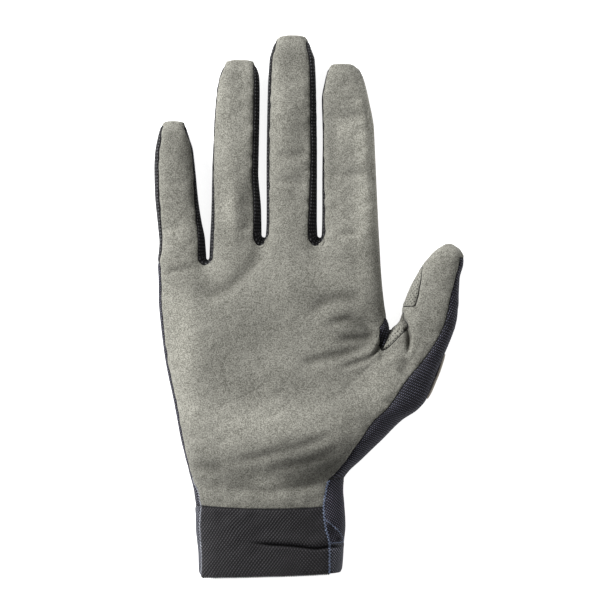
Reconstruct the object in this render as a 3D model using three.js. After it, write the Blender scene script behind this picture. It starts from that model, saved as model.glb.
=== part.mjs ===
// Motocross glove for the right hand, lying palm up on its back.
// The fingers point along +Y, the thumb lies towards +X and the palm faces +Z.
// Lengths are in millimetres. While it is built, x = 0 is the middle of the wrist, y = 0 the wrist
// seam and z = 0 the surface that the glove lies on.
//
// The whole skin is one closed net of points, worked out from cross-sections. Each panel takes its
// own faces of that net, is drawn back from its seams, and gets its thickness inwards along the
// normals that it shares with its neighbours, so that the edges of two panels meet as a mitre.
import * as THREE from "three";

// Lengths
const palmLength = 111.6;
const thumbCrotchHeight = 77.6;
const cuffLength = 30.8;
const littleLength = 61;
const ringLength = 82.6;
const middleLength = 93.3;
const indexLength = 80.9;
const thumbLength = 36;

// Widths
const wristWidth = 65;
const littleWidth = 19.2;
const ringWidth = 21.8;
const middleWidth = 22.2;
const indexWidth = 23.1;
const thumbWidth = 22.7;
const webGap = 1.2;
const crotchGap = 1.1;
const palmOffset = -0.6;

// Depths, from the surface that the glove lies on to the top of the palm side
const wristDepth = 23;
const palmDepth = 26;
const knuckleDepth = 19;
const fingerDepth = 15.5;
const thumbDepth = 18;

// Walls and seams
const suedeThickness = 1.2;
const meshThickness = 1.1;
const knitThickness = 1.8;
const patchThickness = 1;
const seamGap = 0.3;
const patchGap = 0.3;
// The least squared length of a mean of border directions, which limits how far a sharp corner of
// a panel is drawn back
const sharpestCorner = 0.3;

// How deep the crotches are cut below the row where two fingers part
const littleRingCrotch = 3.2;
const ringMiddleCrotch = 5.3;
const middleIndexCrotch = 5.7;
const thumbCrotch = 8.4;
const thumbCrotchSkew = -2.6;

// How far below the parting rows the palm takes on the roundness of the fingers and the thumb
const fingerBlend = 24;
const thumbBlend = 38;
// How far below the thumb crotch its cut bends the rows of the net
const crotchBlend = 18;

// The flattened back: how far the section would reach below the surface if nothing carried it
const backSink = 1.6;
const tipBulge = 0.9;

// How far the back seams lie inside the edges, as shares of a finger's and of the palm's width
const fingerBackShare = 0.16;
const handBackShare = 0.07;

// How much shorter the cuff is on the thumb side, as a share of its length
const cuffSlant = 0.065;

// Roundness of the sections: the power of the superellipse on the palm side and on the back
const palmPower = 2.4;
const fingerPower = 2.3;
const backPower = 3.4;
const waistShare = 0.42;

// Numbers of faces
const fingerColumns = 5;
const webColumns = 3;
const crotchColumns = 6;
const thumbColumns = 5;
const sideColumns = 3;

// Fingers, from the outer side of the hand inwards. Shares of the finger's own width and length.
// out: how far towards the tip. left, right: edges beside the centre line. leftSeam, rightSeam: how
// far the front seams lie inside those edges. partLeft and partRight: how far above its base row the
// finger parts from its neighbours, as a share of the palm length.
const FINGERS = {
  little: {
    length: littleLength,
    width: littleWidth,
    lean: -0.068,
    partLeft: 0,
    partRight: 0.016,
    shape: [
      { out: 0.0, left: -0.585, right: 0.537, leftSeam: 0.055, rightSeam: 0.17 },
      { out: 0.157, left: -0.511, right: 0.534, leftSeam: 0.065, rightSeam: 0.14 },
      { out: 0.3, left: -0.525, right: 0.48, leftSeam: 0.083, rightSeam: 0.1 },
      { out: 0.443, left: -0.541, right: 0.441, leftSeam: 0.1, rightSeam: 0.06 },
      { out: 0.657, left: -0.518, right: 0.42, leftSeam: 0.1, rightSeam: 0.03 },
      { out: 0.8, left: -0.464, right: 0.4, leftSeam: 0.095, rightSeam: 0.02 },
      { out: 0.886, left: -0.393, right: 0.339, leftSeam: 0.083, rightSeam: 0.02 },
      { out: 0.943, left: -0.341, right: 0.295, leftSeam: 0.05, rightSeam: 0.02 },
      { out: 1.0, left: -0.235, right: 0.239, leftSeam: 0.02, rightSeam: 0.02 },
    ],
  },
  ring: {
    length: ringLength,
    width: ringWidth,
    lean: 0.024,
    partLeft: -0.031,
    partRight: 0.061,
    shape: [
      { out: 0.0, left: -0.52, right: 0.53, leftSeam: 0.07, rightSeam: 0.165 },
      { out: 0.21, left: -0.5, right: 0.5, leftSeam: 0.05, rightSeam: 0.14 },
      { out: 0.422, left: -0.502, right: 0.425, leftSeam: 0.02, rightSeam: 0.115 },
      { out: 0.686, left: -0.487, right: 0.422, leftSeam: 0.01, rightSeam: 0.11 },
      { out: 0.84, left: -0.45, right: 0.415, leftSeam: 0.01, rightSeam: 0.11 },
      { out: 0.92, left: -0.4, right: 0.395, leftSeam: 0.01, rightSeam: 0.09 },
      { out: 0.97, left: -0.328, right: 0.335, leftSeam: 0.01, rightSeam: 0.05 },
      { out: 1.0, left: -0.265, right: 0.28, leftSeam: 0.01, rightSeam: 0.02 },
    ],
  },
  middle: {
    length: middleLength,
    width: middleWidth,
    lean: 0.007,
    partLeft: 0.061,
    partRight: 0.061,
    shape: [
      { out: 0.0, left: -0.53, right: 0.53, leftSeam: 0.03, rightSeam: 0.19 },
      { out: 0.14, left: -0.494, right: 0.5, leftSeam: 0.04, rightSeam: 0.165 },
      { out: 0.42, left: -0.502, right: 0.495, leftSeam: 0.04, rightSeam: 0.12 },
      { out: 0.7, left: -0.492, right: 0.472, leftSeam: 0.045, rightSeam: 0.11 },
      { out: 0.89, left: -0.462, right: 0.435, leftSeam: 0.05, rightSeam: 0.1 },
      { out: 0.935, left: -0.415, right: 0.375, leftSeam: 0.05, rightSeam: 0.09 },
      { out: 0.98, left: -0.345, right: 0.312, leftSeam: 0.03, rightSeam: 0.04 },
      { out: 1.0, left: -0.26, right: 0.25, leftSeam: 0.02, rightSeam: 0.02 },
    ],
  },
  index: {
    length: indexLength,
    width: indexWidth,
    lean: -0.043,
    partLeft: 0.061,
    partRight: 0.012,
    shape: [
      { out: 0.0, left: -0.555, right: 0.56, leftSeam: 0.05, rightSeam: 0.09 },
      { out: 0.16, left: -0.51, right: 0.553, leftSeam: 0.04, rightSeam: 0.09 },
      { out: 0.4, left: -0.472, right: 0.551, leftSeam: 0.02, rightSeam: 0.09 },
      { out: 0.65, left: -0.428, right: 0.549, leftSeam: 0.01, rightSeam: 0.09 },
      { out: 0.81, left: -0.42, right: 0.476, leftSeam: 0.01, rightSeam: 0.08 },
      { out: 0.916, left: -0.345, right: 0.4, leftSeam: 0.01, rightSeam: 0.06 },
      { out: 0.97, left: -0.29, right: 0.33, leftSeam: 0.01, rightSeam: 0.04 },
      { out: 1.0, left: -0.22, right: 0.215, leftSeam: 0.01, rightSeam: 0.02 },
    ],
  },
};
const FINGER_ORDER = ["little", "ring", "middle", "index"];

// The form of each crotch. depth: how deep it is cut at the front seam. waist and back: the shares
// of that depth half-way down and at the back seam. skew moves its lowest place at the front to the
// right, and tilt is the share by which the cut is deeper on the left there.
const CROTCHES = [
  { depth: littleRingCrotch, waist: 0.22, back: 1, skew: 0, tilt: 0 },
  { depth: ringMiddleCrotch, waist: 0.22, back: 1, skew: 0, tilt: 0 },
  { depth: middleIndexCrotch, waist: 0.22, back: 1, skew: 0, tilt: 0 },
];
const THUMB_CROTCH = { depth: thumbCrotch, waist: 0.05, back: 0.4, skew: thumbCrotchSkew, tilt: 0.6 };

// The fingers' height along their length, as shares of the finger depth.
const FINGER_HEIGHT = [
  { out: 0.0, top: 1.0, bottom: 0.0 },
  { out: 0.3, top: 0.98, bottom: 0.0 },
  { out: 0.6, top: 0.95, bottom: 0.03 },
  { out: 0.8, top: 0.92, bottom: 0.09 },
  { out: 0.92, top: 0.84, bottom: 0.16 },
  { out: 1.0, top: 0.64, bottom: 0.28 },
];

// The thumb above its crotch, as shares of its own length and width. The front seam on its inner
// side steps across between the two perforated inserts.
const THUMB = [
  { out: 0.0, left: -0.61, right: 0.602, leftSeam: 0.29, rightSeam: 0.24 },
  { out: 0.06, left: -0.525, right: 0.594, leftSeam: 0.15, rightSeam: 0.23 },
  { out: 0.104, left: -0.504, right: 0.588, leftSeam: 0.05, rightSeam: 0.22 },
  { out: 0.18, left: -0.515, right: 0.565, leftSeam: 0.03, rightSeam: 0.21 },
  { out: 0.235, left: -0.53, right: 0.545, leftSeam: 0.03, rightSeam: 0.2 },
  { out: 0.262, left: -0.535, right: 0.54, leftSeam: 0.22, rightSeam: 0.197 },
  { out: 0.4, left: -0.522, right: 0.478, leftSeam: 0.2, rightSeam: 0.155 },
  { out: 0.512, left: -0.503, right: 0.432, leftSeam: 0.16, rightSeam: 0.11 },
  { out: 0.648, left: -0.451, right: 0.39, leftSeam: 0.07, rightSeam: 0.085 },
  { out: 0.74, left: -0.42, right: 0.39, leftSeam: 0.02, rightSeam: 0.085 },
  { out: 0.855, left: -0.33, right: 0.36, leftSeam: 0.02, rightSeam: 0.085 },
  { out: 0.9, left: -0.289, right: 0.315, leftSeam: 0.02, rightSeam: 0.06 },
  { out: 0.96, left: -0.215, right: 0.22, leftSeam: 0.02, rightSeam: 0.03 },
  { out: 1.0, left: -0.13, right: 0.11, leftSeam: 0.02, rightSeam: 0.02 },
];
const THUMB_HEIGHT = [
  { out: 0.0, top: 1.0, bottom: 0.0 },
  { out: 0.5, top: 0.93, bottom: 0.02 },
  { out: 0.8, top: 0.84, bottom: 0.09 },
  { out: 0.93, top: 0.74, bottom: 0.18 },
  { out: 1.0, top: 0.58, bottom: 0.3 },
];
const thumbLean = 0.31;

// The little-finger edge of the hand. up: share of the palm length above the wrist seam, or of the
// cuff length below it. out: from 0 at the wrist's edge to 1 at the widest place.
// seam: how far the front seam lies inside, as a share of the wrist width.
const HAND_EDGE = [
  { up: -1.0, out: -0.08, seam: 0.013 },
  { up: -0.7, out: -0.07, seam: 0.02 },
  { up: -0.3, out: 0.0, seam: 0.026 },
  { up: 0.0, out: 0.01, seam: 0.036 },
  { up: 0.06, out: 0.05, seam: 0.026 },
  { up: 0.1, out: 0.113, seam: 0.01 },
  { up: 0.255, out: 0.372, seam: 0.014 },
  { up: 0.409, out: 0.566, seam: 0.016 },
  { up: 0.564, out: 0.78, seam: 0.016 },
  { up: 0.718, out: 0.914, seam: 0.017 },
  { up: 0.834, out: 0.985, seam: 0.02 },
  { up: 0.942, out: 1.0, seam: 0.022 },
];

// The thumb edge, up to the thumb crotch. up: share of the crotch height, or of the cuff length
// below the wrist seam. out and seam: from 0 at the wrist's edge to 1 at the thumb's outer edge.
const THUMB_EDGE = [
  { up: -1.0, out: -0.02, seam: -0.132 },
  { up: -0.54, out: 0.0, seam: -0.136 },
  { up: -0.3, out: 0.01, seam: -0.17 },
  { up: 0.0, out: 0.0, seam: -0.186 },
  { up: 0.09, out: -0.01, seam: -0.165 },
  { up: 0.15, out: 0.0, seam: -0.142 },
  { up: 0.19, out: 0.035, seam: -0.075 },
  { up: 0.258, out: 0.149, seam: 0.012 },
  { up: 0.371, out: 0.337, seam: 0.139 },
  { up: 0.483, out: 0.519, seam: 0.265 },
  { up: 0.539, out: 0.657, seam: 0.36 },
  { up: 0.595, out: 0.738, seam: 0.436 },
  { up: 0.708, out: 0.81, seam: 0.554 },
  { up: 0.82, out: 0.883, seam: 0.707 },
  { up: 0.933, out: 0.959, seam: 0.83 },
  { up: 1.0, out: 1.0, seam: 0.887 },
];

// The hand's inner edge between the thumb crotch and the index finger. up: from 0 at the crotch to
// 1 at the fingers. out: from 0 at the index finger's edge to 1 at the crotch.
// seam: how far the front seam lies inside, as a share of the palm's width at the fingers.
const INNER_EDGE = [
  { up: 0.0, out: 1.0, seam: 0.046 },
  { up: 0.12, out: 0.72, seam: 0.012 },
  { up: 0.25, out: 0.5, seam: 0.018 },
  { up: 0.5, out: 0.28, seam: 0.02 },
  { up: 0.75, out: 0.14, seam: 0.022 },
  { up: 1.0, out: 0.0, seam: 0.022 },
];
const crotchReach = 4.2;

// Height of the palm side. up: share of the palm length, or of the cuff length below the wrist seam.
// palm: from 0 at the wrist's or the fingers' height to 1 at the palm's.
const PALM_HEIGHT = [
  { up: 0.0, palm: 0.0 },
  { up: 0.2, palm: 0.7 },
  { up: 0.4, palm: 1.0 },
  { up: 0.5, palm: 1.0 },
  { up: 0.65, palm: 0.95 },
  { up: 0.85, palm: 0.45 },
  { up: 1.0, palm: 0.0 },
];

// Between its ends, where the palm has its full height.
const palmTopUp = 0.5;

// Main folds of the palm side, each along a line. fromX and toX are shares of the palm's width at
// the fingers, from its middle. fromY and toY are shares of the palm length. wide is a share of the
// palm's width. rise is a share of the palm depth, below 0 for a crease.
const FOLDS = [
  { fromX: 0.46, fromY: 0.6, toX: 0.36, toY: 0.6, wide: 0.035, rise: -0.075 },
  { fromX: 0.36, fromY: 0.6, toX: 0.24, toY: 0.565, wide: 0.03, rise: -0.05 },
  { fromX: 0.46, fromY: 0.575, toX: 0.35, toY: 0.54, wide: 0.03, rise: -0.06 },
  { fromX: 0.44, fromY: 0.67, toX: 0.33, toY: 0.655, wide: 0.03, rise: -0.045 },
  { fromX: 0.3, fromY: 0.71, toX: 0.43, toY: 0.7, wide: 0.04, rise: -0.045 },
  { fromX: 0.22, fromY: 0.775, toX: 0.35, toY: 0.815, wide: 0.035, rise: -0.035 },
  { fromX: -0.24, fromY: 0.84, toX: -0.04, toY: 0.93, wide: 0.035, rise: -0.04 },
  { fromX: -0.46, fromY: 0.93, toX: -0.33, toY: 0.93, wide: 0.03, rise: -0.05 },
  { fromX: -0.3, fromY: 0.92, toX: -0.28, toY: 0.82, wide: 0.03, rise: -0.04 },
  { fromX: -0.2, fromY: 0.18, toX: 0.02, toY: 0.2, wide: 0.05, rise: -0.045 },
  { fromX: -0.08, fromY: 0.12, toX: 0.28, toY: 0.21, wide: 0.06, rise: -0.06 },
];
const foldFromHeight = 0.35;
const foldFullHeight = 0.6;

// Where the net has its rows, as shares of the stretch that they divide.
const CUFF_ROWS = [-1, -0.77, -0.54, -0.27];
const LOWER_ROWS = [0, 0.075, 0.157, 0.26, 0.37, 0.48, 0.595, 0.72, 0.86, 1];
const UPPER_ROWS = [0, 0.12, 0.3, 0.48, 0.66, 0.83, 1];
const FINGER_ROWS = [0, 0.12, 0.25, 0.38, 0.51, 0.64, 0.76, 0.86, 0.93, 0.975, 1];
const THUMB_ROWS = [0, 0.09, 0.18, 0.235, 0.262, 0.38, 0.5, 0.63, 0.74, 0.85, 0.94, 1];
const gussetLowRow = 2;
const gussetHighRow = CUFF_ROWS.length + 2;
const wedgeRows = 1;
const wedgeTurns = 2;
const insertCrotchRows = 2;
const insertUpperRow = 4;
const insertUpperEndRow = 8;
// How many rows at the tip the suede takes from the back and from the sides.
const fingerRoll = { back: 3, sides: 1 };
const thumbRoll = { back: 2, sides: 2 };

const lerp = (a, b, t) => a + (b - a) * t;
const clamp = (v, low, high) => Math.min(high, Math.max(low, v));
const smooth = (t) => {
  const c = clamp(t, 0, 1);
  return c * c * (3 - 2 * c);
};
// 1 from a row upwards, falling smoothly to 0 at the reach below it.
const riseTo = (y, row, reach) => smooth((y - row + reach) / reach);
const mix = (p, q, t) => [lerp(p[0], q[0], t), lerp(p[1], q[1], t), lerp(p[2], q[2], t)];

// A column of a table, read at any place along its first column with a smooth curve that does not
// swing past its rows.
function read(table, key, place, column) {
  const last = table.length - 1;
  if (place <= table[0][key]) return table[0][column];
  if (place >= table[last][key]) return table[last][column];
  let i = 0;
  while (place > table[i + 1][key]) i += 1;
  const slope = (j) => (table[j + 1][column] - table[j][column]) / (table[j + 1][key] - table[j][key]);
  const tangent = (j) => {
    if (j === 0) return slope(0);
    if (j === last) return slope(last - 1);
    const before = slope(j - 1);
    const after = slope(j);
    return before * after > 0 ? (2 * before * after) / (before + after) : 0;
  };
  const run = table[i + 1][key] - table[i][key];
  const t = (place - table[i][key]) / run;
  const t2 = t * t;
  const t3 = t2 * t;
  return (
    table[i][column] * (2 * t3 - 3 * t2 + 1) +
    tangent(i) * run * (t3 - 2 * t2 + t) +
    table[i + 1][column] * (3 * t2 - 2 * t3) +
    tangent(i + 1) * run * (t3 - t2)
  );
}

// The fingers stand side by side across the palm, so their widths set the palm's.
const baseWidth = (f) => (f.shape[0].right - f.shape[0].left) * f.width;
const knuckleWidth =
  FINGER_ORDER.reduce((sum, name) => sum + baseWidth(FINGERS[name]), 0) +
  webGap * (FINGER_ORDER.length - 1);
const palmLeft = palmOffset - knuckleWidth / 2;
const palmRight = palmOffset + knuckleWidth / 2;
const wristLeft = -wristWidth / 2;
const wristRight = wristWidth / 2;
const crotchX = palmRight + crotchReach;
let nextLeft = palmLeft;
for (const name of FINGER_ORDER) {
  const finger = FINGERS[name];
  finger.centre = nextLeft - finger.shape[0].left * finger.width;
  nextLeft += baseWidth(finger) + webGap;
  finger.baseY = palmLength;
  finger.tipY = palmLength + finger.length;
}
// The little finger starts lower than the others, by the drop of its own row.
const littleDrop = 0.047 * palmLength;
FINGERS.little.baseY -= littleDrop;
FINGERS.little.tipY -= littleDrop;
const thumbCentre = crotchX + crotchGap - THUMB[0].left * thumbWidth;
const thumbOuter = thumbCentre + THUMB[0].right * thumbWidth;
const thumbTipY = thumbCrotchHeight + thumbLength;

const upShare = (y, length) => (y < 0 ? y / cuffLength : y / length);

// A section of the glove at one height y: a closed superellipse with a flattened back. frontLeft and
// frontRight are the angles of the front seams, and backLeft and backRight those of the back seams.
// An angle is 0 at the right edge, a quarter turn on top, and goes on below the left edge.
function makeSection({ left, right, seamLeft, seamRight, top, bottom, power, backInset }) {
  const centre = (left + right) / 2;
  const half = (right - left) / 2;
  const angleAt = (x, p) => {
    const share = clamp((x - centre) / half, -1, 1);
    return Math.acos(Math.sign(share) * Math.abs(share) ** (p / 2));
  };
  return {
    centre,
    half,
    top,
    bottom,
    power,
    angleAt,
    frontRight: angleAt(seamRight, power),
    frontLeft: angleAt(seamLeft, power),
    backLeft: 2 * Math.PI - angleAt(left + backInset, backPower),
    backRight: -angleAt(right - backInset, backPower),
  };
}

function sectionPoint(section, angle, y) {
  const { centre, half, top, bottom, power } = section;
  const sine = Math.sin(angle);
  const cosine = Math.cos(angle);
  const p = sine >= 0 ? power : backPower;
  const x = centre + half * Math.sign(cosine) * Math.abs(cosine) ** (2 / p);
  const waist = bottom + (top - bottom) * waistShare;
  const reach = Math.abs(sine) ** (2 / p);
  if (sine >= 0) return [x, y, waist + (top - waist) * reach];
  return [x, y, Math.max(bottom, waist - (waist - bottom + backSink) * reach)];
}

function fingerSection(name, y) {
  const finger = FINGERS[name];
  const out = (y - finger.baseY) / finger.length;
  const value = (column) => read(finger.shape, "out", out, column) * finger.width;
  const centre = finger.centre + finger.lean * (y - finger.baseY);
  const left = centre + value("left");
  const right = centre + value("right");
  return makeSection({
    left,
    right,
    seamLeft: left + value("leftSeam"),
    seamRight: right - value("rightSeam"),
    top: read(FINGER_HEIGHT, "out", out, "top") * fingerDepth,
    bottom: read(FINGER_HEIGHT, "out", out, "bottom") * fingerDepth,
    power: fingerPower,
    backInset: fingerBackShare * (right - left),
  });
}

// The thumb side's edge or its front seam, up to the thumb crotch and level with it above.
function outerEdge(y, column) {
  const share = read(THUMB_EDGE, "up", upShare(y, thumbCrotchHeight), column);
  return lerp(wristRight, thumbOuter, share);
}

function thumbSection(y) {
  const out = (y - thumbCrotchHeight) / thumbLength;
  const value = (column) => read(THUMB, "out", out, column) * thumbWidth;
  const centre = thumbCentre + thumbLean * Math.max(0, y - thumbCrotchHeight);
  const inHand = y <= thumbCrotchHeight;
  const left = centre + value("left");
  const right = inHand ? outerEdge(y, "out") : centre + value("right");
  return makeSection({
    left,
    right,
    seamLeft: left + value("leftSeam"),
    seamRight: inHand ? outerEdge(y, "seam") : right - value("rightSeam"),
    top: read(THUMB_HEIGHT, "out", out, "top") * thumbDepth,
    bottom: read(THUMB_HEIGHT, "out", out, "bottom") * thumbDepth,
    power: fingerPower,
    backInset: fingerBackShare * (right - left),
  });
}

const handEdge = (y) => lerp(wristLeft, palmLeft, read(HAND_EDGE, "up", upShare(y, palmLength), "out"));
const handSeam = (y) =>
  handEdge(y) + read(HAND_EDGE, "up", upShare(y, palmLength), "seam") * wristWidth;
const palmTop = (y) => {
  const up = upShare(y, palmLength);
  const ends = up < palmTopUp ? wristDepth : knuckleDepth;
  return lerp(ends, palmDepth, read(PALM_HEIGHT, "up", up, "palm"));
};

// The hand from the wrist to the thumb crotch, with the base of the thumb in it.
function lowerSection(y) {
  const left = handEdge(y);
  const right = outerEdge(y, "out");
  return makeSection({
    left,
    right,
    seamLeft: handSeam(y),
    seamRight: outerEdge(y, "seam"),
    top: palmTop(y),
    bottom: 0,
    power: palmPower,
    backInset: handBackShare * knuckleWidth,
  });
}

// The hand from the thumb crotch to the fingers.
function upperSection(y) {
  const up = clamp((y - thumbCrotchHeight) / (palmLength - thumbCrotchHeight), 0, 1);
  const left = handEdge(y);
  const right = lerp(palmRight, crotchX, read(INNER_EDGE, "up", up, "out"));
  return makeSection({
    left,
    right,
    seamLeft: handSeam(y),
    seamRight: right - read(INNER_EDGE, "up", up, "seam") * knuckleWidth,
    top: palmTop(y),
    bottom: 0,
    power: palmPower,
    backInset: handBackShare * knuckleWidth,
  });
}

// Points round a section. Across the front and the back, share goes from the left seam to the right
// one. Down a side strip, it goes from the front seam to the back seam.
const AROUND = {
  front: (s, share) => lerp(s.frontLeft, s.frontRight, share),
  back: (s, share) => lerp(s.backLeft, s.backRight + 2 * Math.PI, share),
  leftSide: (s, share) => lerp(s.frontLeft, s.backLeft, share),
  rightSide: (s, share) => lerp(s.frontRight, s.backRight, share),
};
const on = (section, part, share, y) => sectionPoint(section, AROUND[part](section, share), y);

// The row where each finger parts from its neighbours, at its left and right edge.
const partY = (name, share) => {
  const f = FINGERS[name];
  return f.baseY + lerp(f.partLeft, f.partRight, share) * palmLength;
};

// The turn from the side of one finger to the side of the next: half an ellipse in plan, deepest
// at the front seam and shallow half-way down, where the two sides nearly touch.
function crotchPoint(leftPoint, rightPoint, { depth, waist, back, skew, tilt }, turn, down) {
  const share = lerp(lerp(1, back, down), waist, Math.sin(Math.PI * down));
  const middle = mix(leftPoint, rightPoint, 0.5);
  const cosine = Math.cos(turn * Math.PI);
  const sine = Math.sin(turn * Math.PI) * share;
  const front = 1 - down;
  return [
    middle[0] + ((leftPoint[0] - rightPoint[0]) / 2) * cosine + skew * front * sine,
    middle[1] +
      ((leftPoint[1] - rightPoint[1]) / 2) * cosine -
      depth * sine * (1 + tilt * front * cosine),
    middle[2] + ((leftPoint[2] - rightPoint[2]) / 2) * cosine,
  ];
}

// Each column across the hand: which finger, web or thumb it runs up into, and where in it.
function makeColumns(withThumb) {
  const columns = [];
  const push = (kind, name, count) => {
    for (let i = columns.length ? 1 : 0; i <= count; i += 1) {
      columns.push({ kind, name, share: i / count });
    }
  };
  FINGER_ORDER.forEach((name, i) => {
    if (i > 0) push("web", i - 1, webColumns);
    push("finger", name, fingerColumns);
  });
  if (withThumb) {
    push("crotch", "thumb", crotchColumns);
    push("thumb", "thumb", thumbColumns);
  }
  return columns;
}
const UPPER_COLUMNS = makeColumns(false);
const LOWER_COLUMNS = makeColumns(true);

const fingerPoint = (name, part, share, y) => on(fingerSection(name, y), part, share, y);

function webPoint(index, turn, down) {
  const before = FINGER_ORDER[index];
  const after = FINGER_ORDER[index + 1];
  const leftPoint = fingerPoint(before, "rightSide", down, partY(before, 1));
  const rightPoint = fingerPoint(after, "leftSide", down, partY(after, 0));
  return crotchPoint(leftPoint, rightPoint, CROTCHES[index], turn, down);
}

// The height y of an upper column where it ends at the fingers, before a crotch is cut into it.
function endY(column) {
  if (column.kind === "finger") return partY(column.name, column.share);
  const before = partY(FINGER_ORDER[column.name], 1);
  const after = partY(FINGER_ORDER[column.name + 1], 0);
  return lerp(before, after, (1 - Math.cos(column.share * Math.PI)) / 2);
}

// The point that an upper column runs up into, and its continuation straight down from there.
function fingerTarget(column, part, y) {
  const down = part === "back" ? 1 : 0;
  if (column.kind === "finger") return fingerPoint(column.name, part, column.share, y);
  const end = webPoint(column.name, column.share, down);
  return [end[0], end[1] + y - endY(column), end[2]];
}

// The share of a wide section's arc at which a column lies, from the places that it runs up into.
// The columns of a crotch share out the arc between their neighbours.
function placeColumns(columns, section, part, points) {
  const power = part === "back" ? backPower : palmPower;
  const angles = points.map((p) => section.angleAt(p[0], power));
  const between = (column) => ["web", "crotch"].includes(column.kind) && column.share < 1;
  columns.forEach((column, i) => {
    if (!between(column)) return;
    const count = column.kind === "web" ? webColumns : crotchColumns;
    const start = i - Math.round(column.share * count);
    angles[i] = lerp(angles[start], angles[start + count], column.share);
  });
  const first = angles[0];
  const last = angles[angles.length - 1];
  return angles.map((a) => (first - a) / (first - last));
}

const columnShares = {};
for (const part of ["front", "back"]) {
  const ends = UPPER_COLUMNS.map((c) => fingerTarget(c, part, endY(c)));
  columnShares[part] = { upper: placeColumns(UPPER_COLUMNS, upperSection(palmLength), part, ends) };
}

function upperPoint(i, part, y) {
  const column = UPPER_COLUMNS[i];
  const palm = on(upperSection(y), part, columnShares[part].upper[i], y);
  const blend = riseTo(y, endY(column), fingerBlend);
  return mix(palm, fingerTarget(column, part, y), blend);
}

// The little finger's and the index finger's side strips, carried down along the hand.
function handSidePoint(part, down, y) {
  const name = part === "leftSide" ? "little" : "index";
  const end = partY(name, part === "leftSide" ? 0 : 1);
  const palm = on(upperSection(y), part, down, y);
  const blend = riseTo(y, end, fingerBlend);
  return mix(palm, fingerPoint(name, part, down, y), blend);
}

function thumbCrotchPoint(turn, down) {
  const leftPoint = handSidePoint("rightSide", down, thumbCrotchHeight);
  const rightPoint = on(thumbSection(thumbCrotchHeight), "leftSide", down, thumbCrotchHeight);
  return crotchPoint(leftPoint, rightPoint, THUMB_CROTCH, turn, down);
}

// The point that a lower column runs up into at the thumb crotch.
function crotchTarget(i, part, y) {
  const column = LOWER_COLUMNS[i];
  if (i < UPPER_COLUMNS.length) return upperPoint(i, part, y);
  if (column.kind === "thumb") return on(thumbSection(y), part, column.share, y);
  const end = thumbCrotchPoint(column.share, part === "back" ? 1 : 0);
  return [end[0], y + (end[1] - thumbCrotchHeight) * riseTo(y, thumbCrotchHeight, crotchBlend), end[2]];
}

for (const part of ["front", "back"]) {
  const ends = LOWER_COLUMNS.map((c, i) => crotchTarget(i, part, thumbCrotchHeight));
  columnShares[part].lower = placeColumns(LOWER_COLUMNS, lowerSection(thumbCrotchHeight), part, ends);
}

// Below the wrist seam the cuff gets shorter towards the thumb side.
const hemY = (x, y) => (y < 0 ? y * (1 - (cuffSlant * (x - wristLeft)) / wristWidth) : y);

const thumbBlendAt = (y) => riseTo(y, thumbCrotchHeight, thumbBlend);

function lowerPoint(i, part, y) {
  const palm = on(lowerSection(y), part, columnShares[part].lower[i], y);
  const target = crotchTarget(i, part, y);
  const point = mix(palm, target, thumbBlendAt(y));
  return [point[0], hemY(point[0], target[1]), point[2]];
}

function lowerSidePoint(part, down, y) {
  const palm = on(lowerSection(y), part, down, y);
  const target =
    part === "leftSide"
      ? handSidePoint(part, down, y)
      : on(thumbSection(y), "rightSide", down, y);
  const point = mix(palm, target, thumbBlendAt(y));
  return [point[0], hemY(point[0], point[1]), point[2]];
}

// The net: welded points, and faces that each belong to a panel.
const weldStep = 1e-3;
const net = { points: [], index: new Map(), faces: [] };

function pointIndex(p) {
  const key = p.map((v) => Math.round(v / weldStep)).join(" ");
  if (!net.index.has(key)) {
    net.index.set(key, net.points.length);
    net.points.push(p);
  }
  return net.index.get(key);
}

// A grid of points becomes faces. Columns to the right and rows upwards face the reader, and turned
// reverses that. panelAt(row, column) names the panel of each cell.
function addGrid(grid, turned, panelAt) {
  const ids = grid.map((row) => row.map(pointIndex));
  const addFace = (panel, a, b, c) => {
    if (a === b || b === c || c === a) return;
    net.faces.push({ panel, corners: turned ? [a, c, b] : [a, b, c] });
  };
  for (let r = 0; r + 1 < ids.length; r += 1) {
    for (let c = 0; c + 1 < ids[r].length; c += 1) {
      const panel = panelAt(r, c);
      addFace(panel, ids[r][c], ids[r][c + 1], ids[r + 1][c + 1]);
      addFace(panel, ids[r][c], ids[r + 1][c + 1], ids[r + 1][c]);
    }
  }
  return ids;
}

const steps = (count) => Array.from({ length: count + 1 }, (_, i) => i / count);
const lowerHeights = [
  ...CUFF_ROWS.map((s) => s * cuffLength),
  ...LOWER_ROWS.map((s) => s * thumbCrotchHeight),
];
const wristRow = CUFF_ROWS.length;

// The hand below the thumb crotch, with the cuff.
for (const part of ["front", "back"]) {
  const grid = lowerHeights.map((y) => LOWER_COLUMNS.map((c, i) => lowerPoint(i, part, y)));
  const above = part === "front" ? "palm" : "back";
  const cuff = part === "front" ? "cuff_front" : "cuff_back";
  addGrid(grid, part === "back", (r) => (r < wristRow ? cuff : above));
}
const lowerLeft = lowerHeights.map((y) => steps(sideColumns).map((s) => lowerSidePoint("leftSide", s, y)));
addGrid(lowerLeft, true, (r) => (r < wristRow ? "cuff_back" : "back"));
const lowerRight = lowerHeights.map((y) =>
  steps(sideColumns).map((s) => lowerSidePoint("rightSide", s, y)),
);
const outerIds = addGrid(lowerRight, false, (r) => {
  if (r < gussetLowRow) return "cuff_back";
  return r < gussetHighRow ? "wrist_gusset" : "back";
});

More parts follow.
